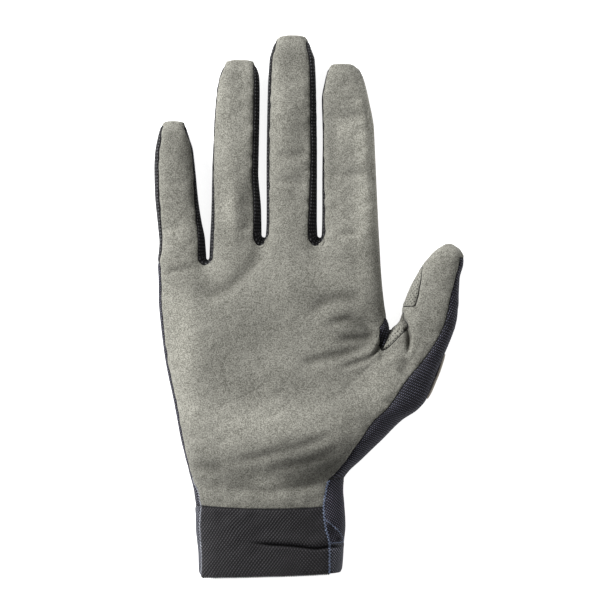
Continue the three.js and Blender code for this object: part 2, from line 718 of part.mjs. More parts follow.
// The hand between the thumb crotch and the fingers.
const upperY = (end, share) => lerp(thumbCrotchHeight, end, share);
for (const part of ["front", "back"]) {
  const grid = UPPER_ROWS.map((s) => UPPER_COLUMNS.map((c, i) => upperPoint(i, part, upperY(endY(c), s))));
  addGrid(grid, part === "back", () => (part === "front" ? "palm" : "back"));
}
for (const part of ["leftSide", "rightSide"]) {
  const end = part === "leftSide" ? partY("little", 0) : partY("index", 1);
  const grid = UPPER_ROWS.map((s) =>
    steps(sideColumns).map((down) => handSidePoint(part, down, upperY(end, s))),
  );
  addGrid(grid, part === "leftSide", (r) => (part === "leftSide" || r < wedgeRows ? "back" : "palm"));
}

// The turns between the fingers and at the thumb. The rows go round, from left to right.
const WEB_PANELS = ["fourchette_little_ring", "fourchette_ring_middle", "fourchette_middle_index"];
WEB_PANELS.forEach((panel, i) => {
  const grid = steps(webColumns).map((turn) => steps(sideColumns).map((down) => webPoint(i, turn, down)));
  addGrid(grid, true, () => panel);
});
const crotchGrid = steps(crotchColumns).map((turn) =>
  steps(sideColumns).map((down) => thumbCrotchPoint(turn, down)),
);
addGrid(crotchGrid, true, (r) => (r < wedgeTurns ? "back" : "thumb_insert_crotch"));

// The closed end of a finger: a patch between the four last rows, bulged outwards.
function capGrid(front, back, left, right) {
  const columns = front.length - 1;
  const rows = left.length - 1;
  return steps(rows).map((down, r) =>
    steps(columns).map((across, c) => {
      const sides = mix(left[r], right[r], across);
      const ends = mix(front[c], back[c], down);
      const corners = mix(
        mix(front[0], front[columns], across),
        mix(back[0], back[columns], across),
        down,
      );
      const p = [0, 1, 2].map((k) => sides[k] + ends[k] - corners[k]);
      p[1] += tipBulge * Math.sin(Math.PI * down) * Math.sin(Math.PI * across);
      return p;
    }),
  );
}

// A finger or the thumb above the row where it parts: front, back, two sides and the closed end.
function addTube({ pointAt, rowY, rows, columns, roll, panels }) {
  const build = (part, count) =>
    rows.map((row) => steps(count).map((s) => pointAt(part, s, rowY(part, s, row))));
  const front = build("front", columns);
  const back = build("back", columns);
  const left = build("leftSide", sideColumns);
  const right = build("rightSide", sideColumns);
  const rollRow = rows.length - 1 - roll.back;
  addGrid(front, false, () => "palm");
  addGrid(back, true, (r) => (r < rollRow ? "back" : "palm"));
  const sidesEnd = rows.length - 1 - roll.sides;
  addGrid(left, true, (r) => (r < sidesEnd ? panels.left(r) : "palm"));
  addGrid(right, false, (r) => (r < sidesEnd ? panels.right(r) : "palm"));
  const end = (grid) => grid[grid.length - 1];
  const cap = capGrid(end(front), end(back), end(left), end(right));
  // addGrid expects rows upwards, and these rows go down the end, which faces away from the hand.
  addGrid(cap, false, () => "palm");
}

const SIDE_PANELS = {
  little: { left: () => "little_side", right: () => WEB_PANELS[0] },
  ring: { left: () => WEB_PANELS[0], right: () => WEB_PANELS[1] },
  middle: { left: () => WEB_PANELS[1], right: () => WEB_PANELS[2] },
  index: { left: () => WEB_PANELS[2], right: () => "palm" },
};
for (const name of FINGER_ORDER) {
  const tipY = FINGERS[name].tipY;
  const partShare = { front: (s) => s, back: (s) => s, leftSide: () => 0, rightSide: () => 1 };
  addTube({
    pointAt: (part, s, y) => fingerPoint(name, part, s, y),
    rowY: (part, s, row) => lerp(partY(name, partShare[part](s)), tipY, row),
    rows: FINGER_ROWS,
    columns: fingerColumns,
    roll: fingerRoll,
    panels: SIDE_PANELS[name],
  });
}
const innerPanel = (r) => {
  if (r < insertCrotchRows) return "thumb_insert_crotch";
  return r < insertUpperRow || r >= insertUpperEndRow ? "palm" : "thumb_insert_upper";
};
addTube({
  pointAt: (part, s, y) => on(thumbSection(y), part, s, y),
  rowY: (part, s, row) => lerp(thumbCrotchHeight, thumbTipY, row),
  rows: THUMB_ROWS,
  columns: thumbColumns,
  roll: thumbRoll,
  panels: { left: innerPanel, right: () => "back" },
});

// Folds: each sinks or raises the palm side in a band about its line, fading at both ends.
function foldAt(x, y) {
  let height = 0;
  for (const fold of FOLDS) {
    const ax = palmOffset + fold.fromX * knuckleWidth;
    const ay = fold.fromY * palmLength;
    const dx = (fold.toX - fold.fromX) * knuckleWidth;
    const dy = (fold.toY - fold.fromY) * palmLength;
    const along = clamp(((x - ax) * dx + (y - ay) * dy) / (dx * dx + dy * dy), 0, 1);
    const away = Math.hypot(x - ax - along * dx, y - ay - along * dy) / (fold.wide * knuckleWidth);
    height += fold.rise * palmDepth * Math.exp(-away * away);
  }
  return height;
}
for (const p of net.points) {
  const weight = smooth((p[2] / palmDepth - foldFromHeight) / (foldFullHeight - foldFromHeight));
  p[2] += foldAt(p[0], p[1]) * weight;
}

const vector = (id) => new THREE.Vector3(...net.points[id]);

function faceNormal([a, b, c]) {
  const p = vector(a);
  return vector(b).sub(p).cross(vector(c).sub(p));
}
const normals = net.points.map(() => new THREE.Vector3());
for (const face of net.faces) {
  const normal = faceNormal(face.corners);
  for (const id of face.corners) normals[id].add(normal);
}
for (const normal of normals) normal.normalize();

const FINISHES = {
  suede: { color: 0x84837c, roughness: 0.95, metalness: 0 },
  perforated: { color: 0x7d7c76, roughness: 0.95, metalness: 0 },
  navyMesh: { color: 0x2c2c34, roughness: 0.85, metalness: 0 },
  blackMesh: { color: 0x202022, roughness: 0.9, metalness: 0 },
  knit: { color: 0x2f2f30, roughness: 0.95, metalness: 0 },
  patch: { color: 0xb9ad9c, roughness: 0.8, metalness: 0 },
};
const PANELS = {
  palm: { finish: "suede", thickness: suedeThickness },
  back: { finish: "navyMesh", thickness: meshThickness },
  little_side: { finish: "blackMesh", thickness: meshThickness },
  fourchette_little_ring: { finish: "blackMesh", thickness: meshThickness },
  fourchette_ring_middle: { finish: "blackMesh", thickness: meshThickness },
  fourchette_middle_index: { finish: "blackMesh", thickness: meshThickness },
  thumb_insert_upper: { finish: "perforated", thickness: suedeThickness },
  thumb_insert_crotch: { finish: "perforated", thickness: suedeThickness },
  wrist_gusset: { finish: "navyMesh", thickness: meshThickness },
  cuff_front: { finish: "knit", thickness: knitThickness },
  cuff_back: { finish: "knit", thickness: knitThickness },
};

// A panel of the net as a closed sheet. Its outer face lies lift outside the net, it is thickness
// thick, and its border is drawn back by half the seam gap.
function makeSheet(name, finish, faces, lift, thickness) {
  const borders = new Map();
  const inward = new Map();
  for (const face of faces) {
    for (let k = 0; k < 3; k += 1) {
      const a = face.corners[k];
      const b = face.corners[(k + 1) % 3];
      if (borders.has(`${b} ${a}`)) borders.delete(`${b} ${a}`);
      else borders.set(`${a} ${b}`, { a, b, face });
    }
  }
  for (const { a, b, face } of borders.values()) {
    const edge = vector(b).sub(vector(a));
    const across = faceNormal(face.corners).cross(edge).normalize();
    for (const id of [a, b]) {
      if (!inward.has(id)) inward.set(id, { sum: new THREE.Vector3(), count: 0 });
      inward.get(id).sum.add(across);
      inward.get(id).count += 1;
    }
  }
  const ids = [...new Set(faces.flatMap((f) => f.corners))];
  const slot = new Map(ids.map((id, i) => [id, i]));
  const outer = [];
  const inner = [];
  for (const id of ids) {
    const p = vector(id);
    if (inward.has(id)) {
      const { sum, count } = inward.get(id);
      const mean = sum.divideScalar(count);
      p.addScaledVector(mean, seamGap / 2 / Math.max(sharpestCorner, mean.lengthSq()));
    }
    outer.push(p.clone().addScaledVector(normals[id], lift));
    inner.push(p.clone().addScaledVector(normals[id], lift - thickness));
  }
  const count = ids.length;
  const triangles = [];
  for (const { corners } of faces) {
    const [a, b, c] = corners.map((id) => slot.get(id));
    triangles.push([a, b, c], [a + count, c + count, b + count]);
  }
  for (const { a, b } of borders.values()) {
    const [p, q] = [slot.get(a), slot.get(b)];
    triangles.push([q, p, p + count], [q, p + count, q + count]);
  }
  const geometry = new THREE.BufferGeometry();
  const positions = [...outer, ...inner].flatMap((p) => [p.x, p.y, p.z]);
  geometry.setAttribute("position", new THREE.Float32BufferAttribute(positions, 3));
  geometry.setIndex(triangles.flat());
  const mesh = new THREE.Mesh(geometry, new THREE.MeshStandardMaterial(FINISHES[finish]));
  mesh.name = name;
  return mesh;
}

const glove = new THREE.Group();
glove.name = "glove";
for (const [name, panel] of Object.entries(PANELS)) {
  const faces = net.faces.filter((f) => f.panel === name);
  glove.add(makeSheet(name, panel.finish, faces, 0, panel.thickness));
}

// The patch on the back of the thumb base lies on the mesh and shows past the hand's outline.
const PATCH_ROWS = { first: wristRow + 6, last: wristRow + 8 };
const PATCH_COLUMNS = { first: 1, last: 2 };
const patchFaces = [];
for (let r = PATCH_ROWS.first; r < PATCH_ROWS.last; r += 1) {
  for (let c = PATCH_COLUMNS.first; c < PATCH_COLUMNS.last; c += 1) {
    const [a, b] = [outerIds[r][c], outerIds[r][c + 1]];
    const [d, e] = [outerIds[r + 1][c], outerIds[r + 1][c + 1]];
    patchFaces.push({ corners: [a, b, e] }, { corners: [a, e, d] });
  }
}
const patchLift = patchGap + patchThickness;
glove.add(makeSheet("thumb_back_patch", "patch", patchFaces, patchLift, patchThickness));

// The origin goes to the middle of the glove's box, on the surface that it lies on.
const size = new THREE.Box3().setFromObject(glove);
const middle = size.getCenter(new THREE.Vector3());
glove.position.set(-middle.x, -middle.y, -size.min.z);

export default glove;
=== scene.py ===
# %% [markdown]
# A motocross glove for the right hand, lying palm up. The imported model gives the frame: every
# piece here sits where its node sits, in metres. The real glove is sewn from flat panels, so each
# panel is its own piece: a suede palm, a mesh back, mesh strips between the fingers, small
# perforated inserts at the thumb and a knitted cuff.

import bpy
import numpy as np
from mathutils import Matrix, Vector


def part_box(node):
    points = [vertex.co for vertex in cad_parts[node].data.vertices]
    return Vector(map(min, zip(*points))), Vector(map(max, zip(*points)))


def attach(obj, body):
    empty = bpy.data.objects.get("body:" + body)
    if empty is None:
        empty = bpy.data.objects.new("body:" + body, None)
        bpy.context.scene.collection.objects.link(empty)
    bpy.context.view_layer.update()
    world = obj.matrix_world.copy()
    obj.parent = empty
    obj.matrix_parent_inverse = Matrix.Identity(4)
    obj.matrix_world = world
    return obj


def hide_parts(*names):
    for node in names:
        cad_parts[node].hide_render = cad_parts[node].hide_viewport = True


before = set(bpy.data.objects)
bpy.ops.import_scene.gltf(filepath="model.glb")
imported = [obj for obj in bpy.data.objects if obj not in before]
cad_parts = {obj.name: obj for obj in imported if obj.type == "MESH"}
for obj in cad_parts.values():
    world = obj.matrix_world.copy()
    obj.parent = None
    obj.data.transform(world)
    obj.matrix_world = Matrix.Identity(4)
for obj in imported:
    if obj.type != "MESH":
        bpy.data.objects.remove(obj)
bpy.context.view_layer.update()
print("frame nodes", sorted(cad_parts))

# %% [markdown]
# The sizes are those that a glove maker would write on the pattern: lengths and widths of the
# fingers, of the palm and of the cuff, and the heights to which the empty glove stands up from the
# table. Everything below is worked out in millimetres, and becomes metres when a mesh is made.

# %% Sizes in millimetres
MM = 0.001
palm_length = 111.6
crotch_height = 77.6
cuff_length = 30.8
thumb_length = 36.0
wrist_width = 65.0
thumb_width = 22.7
web_gap = 1.2
crotch_gap = 1.1
palm_offset = -0.6
wrist_depth = 23.0
palm_depth = 26.0
knuckle_depth = 19.0
finger_depth = 15.5
thumb_depth = 18.0
suede_thickness = 1.2
mesh_thickness = 1.1
knit_thickness = 1.8
patch_thickness = 0.9
seam_gap = 0.06
cuff_slant = 0.065
web_forms = tuple(dict(depth=d, waist=0.22, back=1.0, skew=0.0, tilt=0.0) for d in (3.2, 5.3, 5.7))
thumb_form = dict(depth=8.4, waist=0.05, back=0.4, skew=-2.6, tilt=0.6)
finger_blend = 24.0
thumb_blend = 38.0
crotch_blend = 18.0
back_sink = 1.6
tip_bulge = 0.9
crotch_reach = 4.2
little_drop = 0.047 * palm_length
palm_power, finger_power, back_power = 2.7, 2.9, 3.4
waist_share = 0.42
finger_back_inset, hand_back_inset = 0.16, 0.07
print("palm", palm_length, "mm long, wrist", wrist_width, "mm wide, cuff", cuff_length, "mm long")

# %% [markdown]
# A finger is a table of a few sections: how far out, where its two edges lie beside its centre
# line, and how far inside those edges the front seams run. A curve through the rows gives every
# section between them. The curve is a monotone cubic, so it never swings past its rows, as an
# ordinary spline would at the square fingertips.

# %% Tables and how they are read
FINGERS = {
    "little": dict(length=61.0, width=19.2, lean=-0.068, part=(0.0, 0.016), rows=(
        # out, left, right, left seam, right seam
        (0, -0.585, 0.537, 0.055, 0.17), (0.157, -0.511, 0.534, 0.065, 0.14),
        (0.3, -0.525, 0.48, 0.083, 0.1), (0.443, -0.541, 0.441, 0.1, 0.06),
        (0.657, -0.518, 0.42, 0.1, 0.03), (0.8, -0.464, 0.4, 0.095, 0.02),
        (0.886, -0.393, 0.339, 0.083, 0.02), (0.943, -0.341, 0.295, 0.05, 0.02),
        (1, -0.235, 0.239, 0.02, 0.02))),
    "ring": dict(length=82.6, width=21.8, lean=0.024, part=(-0.031, 0.061), rows=(
        (0, -0.52, 0.53, 0.07, 0.165), (0.21, -0.5, 0.5, 0.05, 0.14),
        (0.422, -0.502, 0.425, 0.02, 0.115), (0.686, -0.487, 0.422, 0.01, 0.11),
        (0.84, -0.45, 0.415, 0.01, 0.11), (0.92, -0.4, 0.395, 0.01, 0.09),
        (0.97, -0.328, 0.335, 0.01, 0.05), (1, -0.265, 0.28, 0.01, 0.02))),
    "middle": dict(length=93.3, width=22.2, lean=0.007, part=(0.061, 0.061), rows=(
        (0, -0.53, 0.53, 0.03, 0.19), (0.14, -0.494, 0.5, 0.04, 0.165),
        (0.42, -0.502, 0.495, 0.04, 0.12), (0.7, -0.492, 0.472, 0.045, 0.11),
        (0.89, -0.462, 0.435, 0.05, 0.1), (0.935, -0.415, 0.375, 0.05, 0.09),
        (0.98, -0.345, 0.312, 0.03, 0.04), (1, -0.26, 0.25, 0.02, 0.02))),
    "index": dict(length=80.9, width=23.1, lean=-0.043, part=(0.061, 0.012), rows=(
        (0, -0.555, 0.56, 0.05, 0.09), (0.16, -0.51, 0.553, 0.04, 0.09),
        (0.4, -0.472, 0.551, 0.02, 0.09), (0.65, -0.428, 0.549, 0.01, 0.09),
        (0.81, -0.42, 0.476, 0.01, 0.08), (0.916, -0.345, 0.4, 0.01, 0.06),
        (0.97, -0.29, 0.33, 0.01, 0.04), (1, -0.22, 0.215, 0.01, 0.02))),
}
ORDER = ("little", "ring", "middle", "index")
FINGER_COLUMNS = ("out", "left", "right", "left_seam", "right_seam")
# out, top, bottom: shares of the finger depth
FINGER_HEIGHT = ((0.0, 1.0, 0.0), (0.3, 0.98, 0.0), (0.6, 0.95, 0.03), (0.8, 0.92, 0.09),
                 (0.92, 0.84, 0.16), (1.0, 0.64, 0.28))
THUMB = (
    (0, -0.61, 0.602, 0.29, 0.24), (0.06, -0.525, 0.594, 0.15, 0.23),
    (0.104, -0.504, 0.588, 0.05, 0.22), (0.18, -0.515, 0.565, 0.03, 0.21),
    (0.235, -0.53, 0.545, 0.03, 0.2), (0.262, -0.535, 0.54, 0.22, 0.197),
    (0.4, -0.522, 0.478, 0.2, 0.155), (0.512, -0.503, 0.432, 0.16, 0.11),
    (0.648, -0.451, 0.39, 0.07, 0.085), (0.74, -0.42, 0.39, 0.02, 0.085),
    (0.855, -0.33, 0.36, 0.02, 0.085), (0.9, -0.289, 0.315, 0.02, 0.06),
    (0.96, -0.215, 0.22, 0.02, 0.03), (1, -0.13, 0.11, 0.02, 0.02))
THUMB_HEIGHT = ((0.0, 1.0, 0.0), (0.5, 0.93, 0.02), (0.8, 0.84, 0.09), (0.93, 0.74, 0.18),
                (1.0, 0.58, 0.3))
thumb_lean = 0.31
# up the hand, out towards the widest place, seam inset as a share of the wrist width
HAND_EDGE = (
    (-1, -0.08, 0.013), (-0.7, -0.07, 0.02), (-0.3, 0, 0.026), (0, 0.01, 0.036),
    (0.06, 0.05, 0.026), (0.1, 0.113, 0.01), (0.255, 0.372, 0.014), (0.409, 0.566, 0.016),
    (0.564, 0.78, 0.016), (0.718, 0.914, 0.017), (0.834, 0.985, 0.02), (0.942, 1, 0.022))
# up to the thumb crotch, edge and seam from the wrist's edge to the thumb's outer edge
THUMB_EDGE = (
    (-1, -0.02, -0.132), (-0.54, 0, -0.136), (-0.3, 0.01, -0.17), (0, 0, -0.186),
    (0.09, -0.01, -0.165), (0.15, 0, -0.142), (0.19, 0.035, -0.075), (0.258, 0.149, 0.012),
    (0.371, 0.337, 0.139), (0.483, 0.519, 0.265), (0.539, 0.657, 0.36), (0.595, 0.738, 0.436),
    (0.708, 0.81, 0.554), (0.82, 0.883, 0.707), (0.933, 0.959, 0.83), (1, 1, 0.887))
# from the crotch up to the fingers, out, seam inset as a share of the palm's width
INNER_EDGE = ((0.0, 1.0, 0.046), (0.12, 0.72, 0.012), (0.25, 0.5, 0.018), (0.5, 0.28, 0.02),
              (0.75, 0.14, 0.022), (1.0, 0.0, 0.022))
PALM_HEIGHT = ((0.0, 0.0), (0.2, 0.7), (0.4, 1.0), (0.5, 1.0), (0.65, 0.95), (0.85, 0.45), (1.0, 0.0))


# %% Reading a table
def curve(rows, column, place):
    """Monotone cubic through the rows (first entry: place), held level past both ends."""
    table = np.array(rows, float)
    x, y = table[:, 0], table[:, column]
    run = np.diff(x)
    slope = np.diff(y) / run
    product = slope[:-1] * slope[1:]
    total = np.where(slope[:-1] + slope[1:] == 0, 1, slope[:-1] + slope[1:])
    inner = np.where(product > 0, 2 * product / total, 0)
    tangent = np.concatenate([slope[:1], inner, slope[-1:]])
    p = np.clip(np.asarray(place, float), x[0], x[-1])
    i = np.clip(np.searchsorted(x, p, side="right") - 1, 0, len(run) - 1)
    t = (p - x[i]) / run[i]
    t2, t3 = t * t, t * t * t
    return (y[i] * (2 * t3 - 3 * t2 + 1) + tangent[i] * run[i] * (t3 - 2 * t2 + t)
            + y[i + 1] * (3 * t2 - 2 * t3) + tangent[i + 1] * run[i] * (t3 - t2))


def lerp(a, b, t):
    """Straight mix of a and b."""
    return a + (b - a) * t


def smooth(t):
    """3t^2 - 2t^3 on the clipped share t."""
    t = np.clip(t, 0, 1)
    return t * t * (3 - 2 * t)


def rise(y, row, reach):
    """1 from a row upwards, falling smoothly to 0 at the reach below it."""
    return smooth((y - row + reach) / reach)


# %% [markdown]
# The fingers stand side by side, so their widths add up to the palm's. The thumb starts past the
# hand's inner edge.

# %% Where the fingers stand
def base_width(name):
    """Width of a finger's first section: right edge less left edge, times the finger's width."""
    rows = FINGERS[name]["rows"]
    return (rows[0][2] - rows[0][1]) * FINGERS[name]["width"]


knuckle_width = sum(base_width(n) for n in ORDER) + web_gap * (len(ORDER) - 1)
palm_left = palm_offset - knuckle_width / 2
palm_right = palm_offset + knuckle_width / 2
crotch_x = palm_right + crotch_reach
next_left = palm_left
for name in ORDER:
    finger = FINGERS[name]
    finger["centre"] = next_left - finger["rows"][0][1] * finger["width"]
    finger["base"] = palm_length - (little_drop if name == "little" else 0)
    finger["tip"] = finger["base"] + finger["length"]
    next_left += base_width(name) + web_gap
thumb_centre = crotch_x + crotch_gap - THUMB[0][1] * thumb_width
thumb_outer = thumb_centre + THUMB[0][2] * thumb_width
thumb_tip = crotch_height + thumb_length
print("palm width at the fingers, mm:", round(knuckle_width, 1))

# %% [markdown]
# Every cross-section is a superellipse: a circle's formula with another power, which gives the
# full, slightly flat shape of cloth round air. Its lower half has a higher power and is cut off at
# the table, so the glove lies flat on its back. The seams are places on that closed curve.

# %% Cross-sections


def make_section(left, right, seam_left, seam_right, top, bottom, power, back_inset):
    """A section as arrays: its middle, half width, heights, and the angles of its four seams."""
    centre, half = (left + right) / 2, (right - left) / 2

    def angle(x, p):
        share = np.clip((x - centre) / half, -1, 1)
        return np.arccos(np.sign(share) * np.abs(share) ** (p / 2))

    return dict(centre=centre, half=half, top=top, bottom=bottom, power=power, angle=angle,
                front_right=angle(seam_right, power), front_left=angle(seam_left, power),
                back_left=2 * np.pi - angle(left + back_inset, back_power),
                back_right=-angle(right - back_inset, back_power))


def around(s, part, share):
    """The angle round a section: across from seam to seam, or down a side from front to back."""
    ends = {"front": (s["front_left"], s["front_right"]),
            "back": (s["back_left"], s["back_right"] + 2 * np.pi),
            "left_side": (s["front_left"], s["back_left"]),
            "right_side": (s["front_right"], s["back_right"])}[part]
    return lerp(ends[0], ends[1], share)


def on(s, part, share, y):
    """x = c + h |cos a|^(2/p), z = waist + rise |sin a|^(2/p), and no lower than the table."""
    a = around(s, part, share)
    sine, cosine = np.sin(a), np.cos(a)
    p = np.where(sine >= 0, s["power"], back_power)
    x = s["centre"] + s["half"] * np.sign(cosine) * np.abs(cosine) ** (2 / p)
    waist = s["bottom"] + (s["top"] - s["bottom"]) * waist_share
    reach = np.abs(sine) ** (2 / p)
    up = waist + (s["top"] - waist) * reach
    down = np.maximum(s["bottom"], waist - (waist - s["bottom"] + back_sink) * reach)
    return np.stack(np.broadcast_arrays(x, y, np.where(sine >= 0, up, down)), -1)


# %% Edges and heights of the hand
def up_share(y, length):
    """The height as a share of the cuff below the wrist seam and of a length above it."""
    return np.where(y < 0, y / cuff_length, y / length)


def hand_edge(y):
    """x of the hand's outer edge: from the wrist's edge to the little finger's, by a tabled share."""
    return lerp(-wrist_width / 2, palm_left, curve(HAND_EDGE, 1, up_share(y, palm_length)))


def hand_seam(y):
    """x of the seam inside that edge: the edge plus a tabled share of the wrist's width."""
    return hand_edge(y) + curve(HAND_EDGE, 2, up_share(y, palm_length)) * wrist_width


def outer_edge(y, column):
    """x of the thumb side's edge (column 1) or seam (2), from the wrist's edge to the thumb's."""
    share = curve(THUMB_EDGE, column, up_share(np.minimum(y, crotch_height), crotch_height))
    return lerp(wrist_width / 2, thumb_outer, share)


def palm_top(y):
    """Height of the palm: wrist or knuckle depth at its ends, the palm's depth between them."""
    up = up_share(y, palm_length)
    ends = np.where(up < 0.5, wrist_depth, knuckle_depth)
    return lerp(ends, palm_depth, curve(PALM_HEIGHT, 1, up))


# %% Sections of fingers, thumb and palm
def digit_section(left, right, seam_left, seam_right, heights, out, depth):
    """A section of a finger or of the thumb, as high as its table of heights says."""
    return make_section(left, right, seam_left, seam_right, curve(heights, 1, out) * depth,
                        curve(heights, 2, out) * depth, finger_power,
                        finger_back_inset * (right - left))


def palm_section(y, right, seam_right):
    """A wide section of palm or cuff, from the hand's outer edge to the given right edge."""
    return make_section(hand_edge(y), right, hand_seam(y), seam_right, palm_top(y), 0.0 * y,
                        palm_power, hand_back_inset * knuckle_width)


def finger_section(name, y):
    """Section of a finger at y: the table's edges and seams times its width, round a leaning line."""
    f = FINGERS[name]
    out = (y - f["base"]) / f["length"]
    v = {c: curve(f["rows"], i, out) * f["width"] for i, c in enumerate(FINGER_COLUMNS) if i}
    centre = f["centre"] + f["lean"] * (y - f["base"])
    left, right = centre + v["left"], centre + v["right"]
    return digit_section(left, right, left + v["left_seam"], right - v["right_seam"],
                         FINGER_HEIGHT, out, finger_depth)


def thumb_section(y):
    """Section of the thumb at y. Below the crotch its right edge is the outer edge of the hand."""
    out = (y - crotch_height) / thumb_length
    v = {c: curve(THUMB, i, out) * thumb_width for i, c in enumerate(FINGER_COLUMNS) if i}
    centre = thumb_centre + thumb_lean * np.maximum(0, y - crotch_height)
    low = y <= crotch_height
    left = centre + v["left"]
    right = np.where(low, outer_edge(y, 1), centre + v["right"])
    seam_right = np.where(low, outer_edge(y, 2), right - v["right_seam"])
    return digit_section(left, right, left + v["left_seam"], seam_right,
                         THUMB_HEIGHT, out, thumb_depth)


def lower_section(y):
    """The wide section of cuff and palm, from the hand's outer edge to the thumb side's."""
    return palm_section(y, outer_edge(y, 1), outer_edge(y, 2))


def upper_section(y):
    """The section above the thumb crotch, whose right edge runs from the crotch to the index finger."""
    up = np.clip((y - crotch_height) / (palm_length - crotch_height), 0, 1)
    right = lerp(palm_right, crotch_x, curve(INNER_EDGE, 1, up))
    return palm_section(y, right, right - curve(INNER_EDGE, 2, up) * knuckle_width)


# %% [markdown]
# Between two fingers the side strip runs down one finger, turns in a narrow U and runs up the
# next. In plan the turn is half an ellipse, deepest at the front and back seams.

# %% The turns between the fingers and at the thumb
def part_y(name, share):
    """Height at which a finger leaves the palm, mixed from its left side to its right."""
    low, high = FINGERS[name]["part"]
    return FINGERS[name]["base"] + lerp(low, high, share) * palm_length


def turn_point(left, right, form, turn, down):
    """Half an ellipse from left to right, cut depth times a share that falls half-way down."""
    share = lerp(lerp(1, form["back"], down), form["waist"], np.sin(np.pi * down))
    cosine, sine = np.cos(turn * np.pi), np.sin(turn * np.pi) * share
    front = 1 - down
    p = (left + right) / 2 + (left - right) / 2 * cosine[..., None]
    shift = np.stack(np.broadcast_arrays(
        form["skew"] * front * sine, -form["depth"] * sine * (1 + form["tilt"] * front * cosine),
        0.0 * sine), -1)
    return p + shift


def web_end(i, turn):
    """Height of the U turn's line: half a cosine from one finger's side to the next one's."""
    return lerp(part_y(ORDER[i], 1), part_y(ORDER[i + 1], 0), (1 - np.cos(turn * np.pi)) / 2)


def web_point(i, turn, down, below=0.0):
    """A point of the U turn, or of its continuation below millimetres down the palm."""
    a, b = ORDER[i], ORDER[i + 1]
    turn, down, below = np.broadcast_arrays(turn, down, below)
    left_y, right_y = part_y(a, 1) - below, part_y(b, 0) - below
    left = on(finger_section(a, left_y), "right_side", down, left_y)
    right = on(finger_section(b, right_y), "left_side", down, right_y)
    return turn_point(left, right, web_forms[i], turn, down)


# %% [markdown]
# The palm is one wide section low down. Towards the fingers it takes on the roundness of each
# finger, and towards the thumb that of the thumb. Each column of the net keeps the same share of
# the wide section's arc all the way, found from the place that it runs up into.

# %% The hand
KINDS = [("finger", "little"), ("web", 0), ("finger", "ring"), ("web", 1), ("finger", "middle"),
         ("web", 2), ("finger", "index")]


def end_y(group, u):
    """Height at which a column of this group leaves the palm."""
    kind, key = group
    if kind == "finger":
        return part_y(key, u)
    return web_end(key, u)


# %% Above the thumb crotch
def upper_arc(part, group, u):
    """Share of the palm's arc where a column of this group lies."""
    y = np.array(palm_length)
    wide = upper_section(y)
    power = back_power if part == "back" else palm_power

    def at(name, share):
        row = part_y(name, np.asarray(share, float))
        return wide["angle"](on(finger_section(name, row), part, share, row)[..., 0], power)

    first, last = at("little", 0.0), at("index", 1.0)
    kind, key = group
    a = at(key, u) if kind == "finger" else lerp(at(ORDER[key], 1.0), at(ORDER[key + 1], 0.0), u)
    return (first - a) / (first - last)


def upper_point(part, group, u, y):
    """Above the crotch: the palm's section, turning into the finger's or the U turn's near its end."""
    u, y = np.broadcast_arrays(u, y)
    palm = on(upper_section(y), part, upper_arc(part, group, u), y)
    kind, key = group
    end = end_y(group, u)
    if kind == "finger":
        target = on(finger_section(key, y), part, u, y)
    else:
        target = web_point(key, u, 1.0 if part == "back" else 0.0, end - y)
    return lerp(palm, target, rise(y, end, finger_blend)[..., None])


def hand_side(part, down, y):
    """The outer side of the little finger or of the index finger, and of the palm below it."""
    name = "little" if part == "left_side" else "index"
    down, y = np.broadcast_arrays(down, y)
    end = part_y(name, 0.0 if part == "left_side" else 1.0)
    palm = on(upper_section(y), part, down, y)
    target = on(finger_section(name, y), part, down, y)
    return lerp(palm, target, rise(y, end, finger_blend)[..., None])


def thumb_turn(turn, down, y):
    """The turn between index finger and thumb, or its continuation down the palm."""
    turn, down, y = np.broadcast_arrays(turn, down, y)
    left, right = hand_side("right_side", down, y), on(thumb_section(y), "left_side", down, y)
    p = turn_point(left, right, thumb_form, turn, down)
    p[..., 1] = y + (p[..., 1] - y) * rise(y, crotch_height, crotch_blend)
    return p


def hem(p):
    """Below the wrist seam the cuff gets shorter towards the thumb side."""
    slant = 1 - cuff_slant * (p[..., 0] + wrist_width / 2) / wrist_width
    p[..., 1] *= np.where(p[..., 1] < 0, slant, 1)
    return p


# %% Below the thumb crotch
def lower_arc(part, group, u):
    """Share of the wide section's arc where a column of this group lies at the thumb crotch."""
    y = np.array(crotch_height)
    wide = lower_section(y)
    power = back_power if part == "back" else palm_power

    def hand(g, share):
        return wide["angle"](upper_point(part, g, np.asarray(share, float), y)[..., 0], power)

    def thumb(share):
        return wide["angle"](on(thumb_section(y), part, share, y)[..., 0], power)

    first, last = hand(KINDS[0], 0.0), thumb(1.0)
    if group[0] == "thumb":
        a = thumb(u)
    elif group[0] == "crotch":
        a = lerp(hand(KINDS[-1], 1.0), thumb(0.0), u)
    else:
        a = hand(group, u)
    return (first - a) / (first - last)


def lower_point(part, group, u, y):
    """Below the crotch: the wide section, turning into what the column runs up into."""
    u, y = np.broadcast_arrays(u, y)
    palm = on(lower_section(y), part, lower_arc(part, group, u), y)
    if group[0] == "thumb":
        target = on(thumb_section(y), part, u, y)
    elif group[0] == "crotch":
        target = thumb_turn(u, 1.0 if part == "back" else 0.0, y)
    else:
        target = upper_point(part, group, u, y)
    p = lerp(palm, target, rise(y, crotch_height, thumb_blend)[..., None])
    p[..., 1] = target[..., 1]
    return hem(p)


def lower_side(part, down, y):
    """The hand's two sides below the crotch, turning into the hand's or the thumb's side."""
    down, y = np.broadcast_arrays(down, y)
    palm = on(lower_section(y), part, down, y)
    if part == "left_side":
        target = hand_side(part, down, y)
    else:
        target = on(thumb_section(y), part, down, y)
    return hem(lerp(palm, target, rise(y, crotch_height, thumb_blend)[..., None]))


# %% [markdown]
# All grids go into one net. Points that two grids share are welded, so neighbours have the same
# normals at their seam and their thick edges meet as a mitre. Each cell remembers its panel.

# %% The net
grids = []


